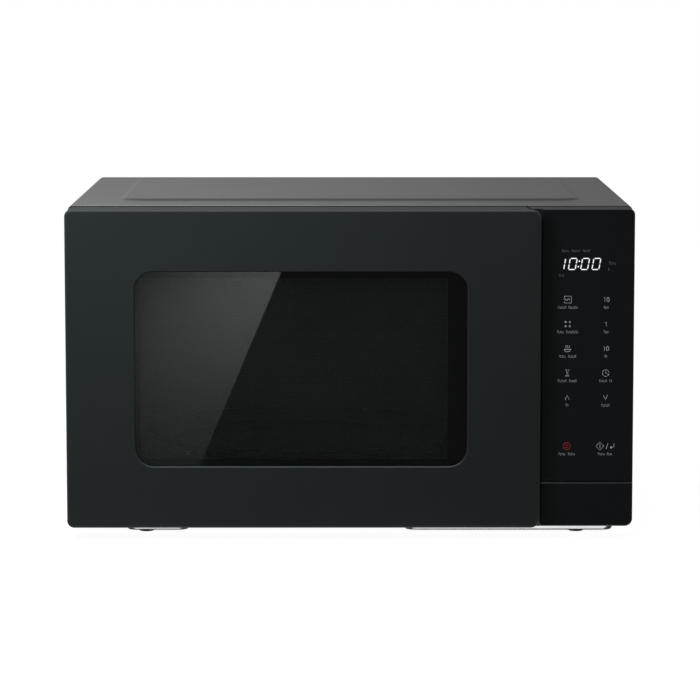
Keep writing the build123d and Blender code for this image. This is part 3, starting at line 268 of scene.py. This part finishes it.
def pressedMica(name, colour):
    look = material(name)
    flakes = look.cells(240.0, "Color")
    shade = look.add("ShaderNodeSeparateColor", {}, {"Color": flakes}, "Red")
    return look.surface({
        "Base Color": look.blend(shade, tone(colour, 0.82), tone(colour, 1.08)),
        "Roughness": 0.38 + shade * 0.2,
        "Normal": look.bump(shade, 0.1, 0.0003),
    })


def fibreBoard(name, colour):
    # solder-masked board: darker ground with lighter copper runs
    look = material(name)
    runs = look.add("ShaderNodeTexBrick", {}, {
        "Vector": look.place(), "Scale": 90.0, "Mortar Size": 0.04,
        "Color1": grey(0.0), "Color2": grey(0.0), "Mortar": grey(1.0)})
    return look.surface({
        "Base Color": look.blend(runs, colour, tone(colour, 1.7)),
        "Roughness": 0.35 + look.noise(120.0) * 0.15,
        "Normal": look.bump(runs, 0.2, 0.0002),
    })


def rubberMould(name, colour):
    look = material(name)
    dust = look.noise(300.0, 4.0)
    return look.surface({
        "Base Color": look.blend(dust, colour, tone(colour, 1.8)),
        "Roughness": 0.62 + dust * 0.2,
        "Specular IOR Level": 0.15,
        "Normal": look.bump(dust, 0.25, 0.0003),
    })


# one finish for each of the record's material slots
finishes = {
    "casing_grey": satinPaint("casingPaint", (0.030, 0.031, 0.032, 1), 0.30, 0.06, 0.45),
    "zinc_steel": zincSheet("zincSheet", (0.85, 0.86, 0.87, 1), 0.28),
    "door_black": mouldedPlastic("doorPlastic", (0.0075, 0.0107, 0.0113, 1), 0.50, 0.10, 0.27),
    "panel_black": mouldedPlastic("panelPlastic", (0.0042, 0.0050, 0.0057, 1), 0.16, 0.05, 0.42),
    "window_glass": clearGlass("smokedGlass", (0.40, 0.44, 0.428, 1), waviness=0.0),
    "inner_sheet": clearGlass("innerSheet", (0.90, 0.92, 0.92, 1), 0.02, 0.002),
    "tray_glass": clearGlass("trayGlass", (0.90, 0.965, 0.95, 1), 0.01),
    "cavity_enamel": foodEnamel("cavityEnamel", (0.60, 0.61, 0.60, 1)),
    "screen_black": satinPaint("screenEnamel", (0.070, 0.071, 0.071, 1), 0.5, 0.1, 0.2),
    "black_plastic": mouldedPlastic("blackPlastic", (0.018, 0.019, 0.020, 1), 0.42, 0.2),
    "grey_plastic": mouldedPlastic("greyPlastic", (0.36, 0.37, 0.38, 1), 0.45, 0.15),
    "white_plastic": mouldedPlastic("whitePlastic", (0.80, 0.80, 0.77, 1), 0.40, 0.12),
    "foot_rubber": rubberMould("footRubber", (0.004, 0.004, 0.004, 1)),
    "bright_steel": bareMetal("groundSteel", (0.70, 0.71, 0.72, 1), 0.20, (1, 1, 0.1)),
    "spring_steel": bareMetal("springWire", (0.52, 0.53, 0.54, 1), 0.28, (1, 1, 1)),
    "aluminium_plain": bareMetal("aluminiumFins", (0.80, 0.81, 0.82, 1), 0.30, (0.1, 1, 1)),
    "core_steel": stackedSteel("coreLaminations", (0.20, 0.19, 0.18, 1)),
    "copper_wire": woundWire("copperTurns", (0.60, 0.29, 0.15, 1)),
    "mica": pressedMica("micaSheet", (0.62, 0.55, 0.44, 1)),
    "circuit_board": fibreBoard("circuitBoard", (0.05, 0.16, 0.08, 1)),
    "lamp_glass": clearGlass("lampGlass", (0.97, 0.95, 0.90, 1)),
    "display_dark": mouldedPlastic("displayFace", (0.012, 0.013, 0.016, 1), 0.12, 0.02),
}
for piece in frame["record"]["subparts"]:
    mesh = nodes[piece["node"]].data
    mesh.materials.clear()
    mesh.materials.append(finishes[piece["material_slot"]])
# pieces of one slot whose maker's finish differs
ownFinish = {
    "control_frame": mouldedPlastic("framePlastic", (0.0046, 0.0055, 0.0062, 1), 0.45, 0.08, 0.30),
    "rear_panel": zincSheet("rearZinc", (0.40, 0.41, 0.42, 1), 0.40),
    # the front plate takes the casing's dark paint, partly as its own paint and partly as painted
    # shade in the slit above the closed door
    "front_plate": finishes["casing_grey"],
}
for node, finish in ownFinish.items():
    nodes[node].data.materials[0] = finish
print("finishes on the CAD nodes:", len(finishes))


def newObject(name, mesh, finish):
    mesh.materials.clear()
    mesh.materials.append(finish)
    made = bpy.data.objects.new(name, mesh)
    scene.collection.objects.link(made)
    return made


def meshFrom(shape, name):
    mesh = bpy.data.meshes.new(name)
    shape.to_mesh(mesh)
    shape.free()
    return mesh


def settle(made):
    # live modifiers become the piece's own mesh
    depsgraph = bpy.context.evaluated_depsgraph_get()
    mesh = bpy.data.meshes.new_from_object(made.evaluated_get(depsgraph), depsgraph=depsgraph)
    made.modifiers.clear()
    made.data = mesh


# perforated screen behind the window
screen = {
    "pitch": 2.2 * mm,
    "web": 0.36 * mm,
    "marginX": (11.4 * mm, 22.0 * mm),
    "marginZ": (11.5 * mm, 11.5 * mm),
    "tiles": 2,
    "frameExtra": 0.05 * mm,
    "weld": 1e-5,
}


def perforatedTile(name, left, bottom, across, upwards, depth, thickness):
    # two hexagonal rings, repeated along the row and then up the rows
    pitch = screen["pitch"]
    corner = pitch / math.sqrt(3)
    shape = bmesh.new()
    for shift, rise in ((0.0, 0.0), (pitch / 2, corner * 1.5)):
        place = Matrix.Translation((left + shift, depth, bottom + rise)) @ upright
        ring = bmesh.ops.create_circle(
            shape, cap_ends=True, segments=6, radius=corner, matrix=place)
        face = ring["verts"][0].link_faces[0]
        bmesh.ops.inset_individual(shape, faces=[face], thickness=screen["web"])
        bmesh.ops.delete(shape, geom=[face], context="FACES_ONLY")
    bmesh.ops.remove_doubles(shape, verts=shape.verts, dist=screen["weld"])
    made = newObject(name, meshFrom(shape, name), finishes["screen_black"])
    for count, offset in ((across, (pitch, 0, 0)), (upwards, (0, 0, corner * 3))):
        row = made.modifiers.new("row", "ARRAY")
        row.count = count
        row.use_relative_offset = False
        row.use_constant_offset = True
        row.constant_offset_displace = offset
        row.use_merge_vertices = True
        row.merge_threshold = screen["weld"]
    wall = made.modifiers.new("wall", "SOLIDIFY")
    wall.thickness = thickness
    wall.offset = -1.0
    settle(made)
    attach(made, "door")
    return made


def perforatedScreen():
    low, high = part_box("door_screen")
    paneLow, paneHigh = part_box("door_window")
    thickness = high.y - low.y
    pitch = screen["pitch"]
    rowStep = pitch * math.sqrt(3)
    left, right = paneLow.x + screen["marginX"][0], paneHigh.x - screen["marginX"][1]
    bottom, top = paneLow.z + screen["marginZ"][0], paneHigh.z - screen["marginZ"][1]
    across = int((right - left) / pitch / screen["tiles"])
    upwards = int((top - bottom) / rowStep)
    for tile in range(screen["tiles"]):
        name, start = f"perforatedScreen{tile + 1}", left + tile * across * pitch
        made = perforatedTile(name, start, bottom, across, upwards, low.y, thickness)
        if tile == 0:
            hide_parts("door_screen")
    edge = bmesh.new()
    outer = [(low.x, low.z), (high.x, low.z), (high.x, high.z), (low.x, high.z)]
    right, top = right - pitch, top - rowStep
    inner = [(left, bottom), (right, bottom), (right, top), (left, top)]
    front = low.y - screen["frameExtra"]
    rims = [[edge.verts.new((x, front, z)) for x, z in loop] for loop in (outer, inner)]
    for i in range(4):
        j = (i + 1) % 4
        edge.faces.new((rims[0][i], rims[0][j], rims[1][j], rims[1][i]))
    sheet = bmesh.ops.extrude_face_region(edge, geom=edge.faces[:])
    moving = [v for v in sheet["geom"] if isinstance(v, bmesh.types.BMVert)]
    bmesh.ops.translate(edge, verts=moving, vec=(0, thickness + screen["frameExtra"], 0))
    bmesh.ops.recalc_face_normals(edge, faces=edge.faces)
    # the screen's plain border takes a darker copy of its black paint: painted shade round the
    # window's edges
    shadedSurround = satinPaint("screenSurroundShade", (0.010, 0.0105, 0.0105, 1), 0.55, 0.1, 0.1)
    border = newObject("screenBorder", meshFrom(edge, "screenBorder"), shadedSurround)
    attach(border, "door")
    print("screen holes:", across * screen["tiles"] * upwards * 2)


perforatedScreen()

# latch spring in the door, which the hooks press together as they lift; here it is wound at rest
spring = {
    "turns": 5,
    "stepsPerTurn": 18,
    "wire": 0.9 * mm,
    "wireSides": 8,
    "travel": 4.0 * mm,
}


def latchSpring():
    low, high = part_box("latch_spring")
    middle = (low + high) / 2
    half = spring["wire"] / 2
    steps = spring["turns"] * spring["stepsPerTurn"]
    start = Matrix.Translation((high.x - half, middle.y, low.z + half)) @ upright
    shape = bmesh.new()
    bmesh.ops.create_circle(
        shape, cap_ends=False, segments=spring["wireSides"], radius=half, matrix=start)
    rise = (high.z - low.z - spring["wire"]) / steps
    bmesh.ops.spin(
        shape, geom=shape.verts[:] + shape.edges[:], cent=(middle.x, middle.y, 0), axis=(0, 0, 1),
        dvec=(0, 0, rise), angle=2 * math.pi * spring["turns"], steps=steps, use_merge=False)
    ends = [edge for edge in shape.edges if edge.is_boundary]
    bmesh.ops.holes_fill(shape, edges=ends, sides=spring["wireSides"])
    bmesh.ops.recalc_face_normals(shape, faces=shape.faces)
    made = newObject("latchSpring", meshFrom(shape, "latchSpring"), finishes["spring_steel"])
    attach(made, "door")
    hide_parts("latch_spring")
    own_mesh(made)
    print("latch spring wound")


latchSpring()

# printed signs and lit digits on the control film
signs = {
    "columns": (-17.2 * mm, 15.6 * mm),
    "firstRow": 76.5 * mm,
    "rowStep": 21.05 * mm,
    "rowPlaces": (0, 1, 2, 3, 4, 6),
    "captionDrop": 6.7 * mm,
    "line": 0.31 * mm,
    "captionLine": 0.34 * mm,
    "captionHeights": (2.2, 1.5, 1.4, 1.5, 1.4, 2.1, 1.5),
    "captionStep": 1.25,
    "captionGap": 1.5,
    "raise": 0.05 * mm,
    "digitHalf": (2.95, 4.75),
    "digitGap": 0.55,
    "colonDot": (0.3, 2.3),
    "digitSlant": 0.18,
    "digitLine": 0.82 * mm,
    "digitRow": 46.0 * mm,
    "digitPlaces": (-23.1, -13.3, -8.1, -2.8, 6.8),
    # dim marks round the digits: their lengths, then across and up from the digits' row
    "marks": [
        ((6.8, 8.0, 7.0), -10.6, 11.3), ((4.8,), -22.8, -9.9),
        ((6.4,), 20.6, 0.8), ((0.6,), 17.4, -4.6),
    ],
}


def arc(centre, radius, start, end, count, squash=1.0):
    angles = [math.radians(start + (end - start) * i / count) for i in range(count + 1)]
    x, y = centre
    return [(x + radius * math.cos(a), y + squash * radius * math.sin(a)) for a in angles]


def waveBox():
    box = [(-3.0, 1.7), (-3.0, 2.9), (3.0, 2.9), (3.0, -2.9), (-3.0, -2.9), (-3.0, -1.7)]
    wave = [(-3.4 + i * 0.62, 0.9 * math.sin(i * 1.25)) for i in range(9)]
    return [box, wave]


def fourDrops():
    return [arc((x, y), 0.6, 0, 360, 8) for x in (-1.75, 1.75) for y in (-1.75, 1.75)]


def steamingBowl():
    bowl = arc((0, -0.6), 2.7, 180, 360, 8, 0.8)
    steam = [[(x, 0.5), (x + 0.4, 1.2), (x, 1.9), (x + 0.4, 2.6)] for x in (-1.5, 0.0, 1.5)]
    return [bowl, [(-3.1, -0.6), (3.1, -0.6)]] + steam


def hourGlass():
    glass = [(-1.6, 2.7), (1.6, 2.7), (-1.6, -2.7), (1.6, -2.7), (-1.6, 2.7)]
    return [glass, [(-0.7, -2.1), (0.7, -2.1)]]


def quickClock():
    rim = [arc((0, 0), 2.8, start, start + 46, 4) for start in range(0, 360, 60)]
    return rim + [[(0, 1.5), (0, 0), (1.3, -0.4)]]


def chevron(way):
    return [[(-1.7, -2.0 * way), (0, 2.0 * way), (1.7, -2.0 * way)]]


def stopSign():
    octagon = arc((0, 0), 3.2, 22.5, 382.5, 8)
    return [octagon, [(-1.3, 0.9), (1.3, 0.9)], [(-1.3, -0.9), (1.3, -0.9)]]


def startSign():
    diamond = [(-4.4, 3.4), (-1.0, 0), (-4.4, -3.4), (-7.8, 0), (-4.4, 3.4)]
    arrow = [(7.7, 2.4), (7.7, 0.2), (7.1, -0.9), (4.6, -1.3)]
    head = [(5.7, -0.2), (4.4, -1.3), (5.7, -2.4)]
    return [diamond, [(-4.4, 1.4), (-4.4, -1.4)], [(1.0, -2.4), (2.5, 2.4)], arrow, head]


def figure(text):
    strokes, x = [], -(len(text) - 1) * 1.4
    for sign in text:
        if sign == "1":
            strokes.append([(x - 0.6, 1.2), (x + 0.2, 1.8), (x + 0.2, -1.8)])
        else:
            strokes.append(arc((x, 0), 1.05, 90, 450, 12, 1.7))
        x += 2.8
    return strokes


def caption(*lengths):
    # plain uneven meanders under the keys
    gap, heights = signs["captionGap"], signs["captionHeights"]
    strokes, x = [], -(sum(lengths) + gap * (len(lengths) - 1)) / 2
    for length in lengths:
        count = max(2, round(length / signs["captionStep"]))
        line = []
        for i in range(count):
            across = x + (i + 0.5) * length / count
            ends = [(across, -1.0), (across, heights[i % len(heights)] - 1.0)]
            line += ends if i % 2 == 0 else ends[::-1]
        strokes.append(line)
        x += length + gap
    return strokes


def litDigit(text):
    half, tall = signs["digitHalf"]
    gap = signs["digitGap"]
    right = [[(half, tall - gap), (half, gap)], [(half, -gap), (half, gap - tall)]]
    if text == "1":
        strokes = right
    elif text == ":":
        radius, height = signs["colonDot"]
        strokes = [arc((0, y), radius, 0, 360, 6) for y in (height, -height)]
    else:
        left = [[(-x, y) for x, y in line] for line in right]
        strokes = right + left + [[(gap - half, y), (half - gap, y)] for y in (tall, -tall)]
    return [[(x + signs["digitSlant"] * y, y) for x, y in line] for line in strokes]


def penStrokes(name, strokes, width, finish):
    # flattened pen lines on the film: strokes are (across, up) in metres from the film's top middle
    low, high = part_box("control_film")
    curve = bpy.data.curves.new(name, "CURVE")
    curve.dimensions = "3D"
    curve.bevel_depth = width / 2
    curve.bevel_resolution = 1
    curve.use_fill_caps = True
    for line in strokes:
        closed = line[0] == line[-1]
        spline = curve.splines.new("POLY")
        points = line[:-1] if closed else line
        spline.points.add(len(points) - 1)
        for point, (across, up) in zip(spline.points, points):
            point.co = (across, up, 0, 1)
        spline.use_cyclic_u = closed
    pen = bpy.data.objects.new(name, curve)
    mesh = bpy.data.meshes.new_from_object(pen)
    bpy.data.objects.remove(pen)
    flat = signs["raise"] / (width / 2)
    mesh.transform(Matrix.Diagonal((1, 1, flat, 1)))
    mesh.transform(Matrix.Translation(((low.x + high.x) / 2, low.y, high.z)) @ upright)
    made = newObject(name, mesh, finish)
    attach(made, "cabinet")


def moved(strokes, across, up):
    return [[(x * mm + across, y * mm + up) for x, y in line] for line in strokes]


def printInk(name, colour):
    look = material(name)
    return look.surface({
        "Base Color": look.blend(look.noise(900.0), tone(colour, 0.85), colour),
        "Roughness": 0.5 + look.noise(2000.0) * 0.1,
    })


def litSegment(name, strength):
    look = material(name)
    glow = look.noise(500.0)
    return look.surface({
        "Base Color": look.blend(glow, grey(0.05), grey(0.06)),
        "Roughness": 0.3 + glow * 0.1,
        "Emission Color": look.blend(glow, (0.94, 0.97, 1.0, 1), (1, 1, 1, 1)),
        "Emission Strength": strength,
    })


def controlSigns():
    left, right = signs["columns"]
    rows = [-signs["firstRow"] - i * signs["rowStep"] for i in signs["rowPlaces"]]
    icons = [
        (waveBox(), figure("10")), (fourDrops(), figure("1")), (steamingBowl(), figure("10")),
        (hourGlass(), quickClock()), (chevron(1), chevron(-1)), (None, startSign()),
    ]
    captions = [
        ((7.6, 8.4), (4.4,)), ((6.2, 11.0), (4.4,)), ((6.4, 7.4), (3.0,)),
        ((8.0, 7.0), (7.4, 3.0)), ((3.0,), (7.8,)), ((6.6, 6.8), (6.2, 4.6)),
    ]
    ink, dim = [], []
    for row, (one, two), (oneLengths, twoLengths) in zip(rows, icons, captions):
        if one:
            ink += moved(one, left, row)
        ink += moved(two, right, row)
        dim += moved(caption(*oneLengths), left, row - signs["captionDrop"])
        dim += moved(caption(*twoLengths), right, row - signs["captionDrop"])
    keyInk = printInk("keyInk", (0.56, 0.58, 0.59, 1))
    penStrokes("keySigns", ink, signs["line"], keyInk)
    legendInk = printInk("legendInk", (0.32, 0.33, 0.335, 1))
    penStrokes("keyLegends", dim, signs["captionLine"], legendInk)
    stop = moved(stopSign(), left, rows[-1])  # the last key of the left column is red
    penStrokes("stopSign", stop, signs["line"], printInk("stopInk", (0.46, 0.013, 0.020, 1)))
    digits = []
    for text, place in zip("10:00", signs["digitPlaces"]):
        digits += moved(litDigit(text), place * mm, -signs["digitRow"])
    penStrokes("clockDigits", digits, signs["digitLine"], litSegment("litDigits", 1.0))
    marks = []
    for lengths, across, up in signs["marks"]:
        marks += moved(caption(*lengths), across * mm, -signs["digitRow"] + up * mm)
    dimInk = printInk("dimInk", (0.10, 0.103, 0.106, 1))
    penStrokes("displayMarks", marks, signs["captionLine"], dimInk)


controlSigns()
print("control signs drawn")

# studio: pale floor, soft light, cards that only reflections see, camera
studio = {
    "fill": 0.32,
    "floorSize": 30.0,
    "floorShade": 0.16,
    "floorGlow": 0.30,
    "floorSeen": 0.65,  # added where the floor is seen directly
    "boardMiddle": (0.2, -2.3, 0.001),
    "boardSize": (4.2, 4.16),
    "boardCloth": 0.06,
    "boardLine": ((-0.147, -0.592), (-0.108, -2.458)),
    "boardGlow": 0.92,
    "boardEdgeFade": (-0.30, 0.0),  # the strip dims away from its edge and towards the oven
    "boardDepthFade": (0.3, 2.6),
    "boardLeast": (0.08, 0.10),
    "boardRight": ((0.14, -0.5), (0.22, -2.5)),
    "boardRightGlow": 0.02,
    "cardSides": (-0.8, 0.8),  # where a card's level changes from left to right
    "cardHeights": (1.2, 2.4),  # and where it dims upwards
    "lens": 168.4,
    "cameraPlace": (-0.0048, -2.9687, 0.4977),
    "cameraPitch": 6.86,
    "cameraTurn": -0.097,
}

# levels at a card's left and right, and how far it dims upwards
cards = {
    "frontFlag": {
        "middle": (1.1, -3.3, 1.2), "size": (3.0, 2.4), "stands": True,
        "levels": (0.06, 0.06), "dims": 0.0,
    },
    "rearFlag": {
        "middle": (0.0, 3.0, 2.5), "size": (7.0, 5.0), "stands": True,
        "levels": (0.50, 0.24), "dims": 0.6,
    },
    # a dark card on the floor under the oven, seen only in reflections: painted shadow under the
    # oven
    "underShadowCard": {
        "middle": (0, 0.0162, 0.0005), "size": (0.47, 0.3486), "stands": False,
        "levels": (0.02, 0.02), "dims": 0.0,
    },
    "overCard": {
        "middle": (-0.2, -0.45, 2.35), "size": (2.4, 1.7), "stands": False,
        "levels": (3.0, 3.0), "dims": 0.0,
    },
}

# the door's lamp is kept out of reflections
lamps = {
    "keyLight": {
        "place": (-0.35, -0.45, 2.3), "aim": (-0.05, -0.2, 0.2), "size": (1.9, 0.5),
        "power": 21.0, "shows": True,
    },
    "doorLight": {
        "place": (-0.33, -0.52, 0.58), "aim": (-0.15, -0.2, 0.22), "size": (0.25, 0.25),
        "power": 5.4, "shows": False,
    },
}


def seenDirectly(look):
    # rays from the camera, from gloss and through glass
    path = "ShaderNodeLightPath"
    seen = look.add(path, output="Is Camera Ray") + look.add(path, output="Is Glossy Ray")
    return look.add("ShaderNodeMath", {"operation": "MINIMUM"}, {
        0: seen + look.add(path, output="Is Transmission Ray"), 1: 1.0})


def paleFloor():
    shape = bmesh.new()
    bmesh.ops.create_grid(shape, x_segments=1, y_segments=1, size=studio["floorSize"] / 2)
    look = material("floorPaper")
    matt = look.add("ShaderNodeBsdfDiffuse", {}, {"Color": grey(studio["floorShade"])})
    shine = studio["floorGlow"] + seenDirectly(look) * studio["floorSeen"]
    glow = look.add("ShaderNodeEmission", {}, {"Color": grey(1.0), "Strength": shine})
    both = look.add("ShaderNodeAddShader", {}, {0: matt, 1: glow})
    look.add("ShaderNodeOutputMaterial", {}, {"Surface": both})
    floor = newObject("floor", meshFrom(shape, "floor"), look.owner)


def reflectedOnly(card, throughGlass=False):
    card.visible_camera = False
    card.visible_diffuse = False
    card.visible_transmission = throughGlass
    card.visible_volume_scatter = False
    card.visible_shadow = False


def reflectionBoard():
    # lies in front of the oven: dark, light left of one slanting edge, dim right of another
    shape = bmesh.new()
    place = Matrix.Translation(studio["boardMiddle"])
    place = place @ Matrix.Diagonal((*studio["boardSize"], 1, 1))
    bmesh.ops.create_grid(shape, x_segments=1, y_segments=1, size=0.5, matrix=place)
    look = material("boardCloth")

    def beyond(line):
        (x0, y0), (x1, y1) = line
        return look.along("X") - (look.along("Y") - y0) * ((x1 - x0) / (y1 - y0)) - x0

    side = beyond(studio["boardLine"])
    nearEdge = look.step(side, *studio["boardEdgeFade"])
    further = look.step(look.along("Y") * -1.0, *studio["boardDepthFade"])
    leastEdge, leastDepth = studio["boardLeast"]
    strip = (side < 0.0) * (leastEdge + nearEdge * (1 - leastEdge))
    strip = strip * (leastDepth + further * (1 - leastDepth))
    right = (beyond(studio["boardRight"]) > 0.0) * studio["boardRightGlow"]
    light = studio["boardCloth"] + strip * studio["boardGlow"] + right
    glow = look.add("ShaderNodeEmission", {}, {"Color": grey(1.0), "Strength": light})
    look.add("ShaderNodeOutputMaterial", {}, {"Surface": glow})
    board = newObject("reflectionBoard", meshFrom(shape, "reflectionBoard"), look.owner)
    reflectedOnly(board, throughGlass=True)


def studioCard(name, card):
    place = Matrix.Translation(card["middle"])
    if card["stands"]:
        place = place @ upright
    place = place @ Matrix.Diagonal((*card["size"], 1, 1))
    shape = bmesh.new()
    bmesh.ops.create_grid(shape, x_segments=1, y_segments=1, size=0.5, matrix=place)
    look = material(name)
    left, right = card["levels"]
    level = left + look.step(look.along("X"), *studio["cardSides"]) * (right - left)
    level = level * (1.0 - look.step(look.along("Z"), *studio["cardHeights"]) * card["dims"])
    glow = look.add("ShaderNodeEmission", {}, {"Color": grey(1.0), "Strength": level})
    look.add("ShaderNodeOutputMaterial", {}, {"Surface": glow})
    reflectedOnly(newObject(name, meshFrom(shape, name), look.owner))


def softLight(name, lamp):
    light = bpy.data.lights.new(name, "AREA")
    light.shape = "RECTANGLE"
    light.size, light.size_y = lamp["size"]
    light.energy = lamp["power"]
    made = bpy.data.objects.new(name, light)
    scene.collection.objects.link(made)
    made.location = lamp["place"]
    made.rotation_mode = "QUATERNION"
    way = Vector(lamp["aim"]) - Vector(lamp["place"])
    made.rotation_quaternion = way.to_track_quat("-Z", "Y")
    made.visible_camera = lamp["shows"]
    made.visible_glossy = lamp["shows"]


paleFloor()
reflectionBoard()
for name, card in cards.items():
    studioCard(name, card)
for name, lamp in lamps.items():
    softLight(name, lamp)

world = bpy.data.worlds.new("studio")
scene.world = world
sky = Look(world)
strength = studio["fill"] + seenDirectly(sky) * (1.0 - studio["fill"])
backdrop = sky.add("ShaderNodeBackground", {}, {"Color": grey(1.0), "Strength": strength})
sky.add("ShaderNodeOutputWorld", {}, {"Surface": backdrop})

lens = bpy.data.cameras.new("camera")
lens.lens = studio["lens"]
lens.sensor_width = 36.0
lens.clip_end = 100.0
camera = bpy.data.objects.new("camera", lens)
scene.collection.objects.link(camera)
camera.location = studio["cameraPlace"]
pitch, turn = math.radians(90 - studio["cameraPitch"]), math.radians(studio["cameraTurn"])
camera.rotation_euler = (pitch, 0, turn)
scene.camera = camera
print("studio ready")
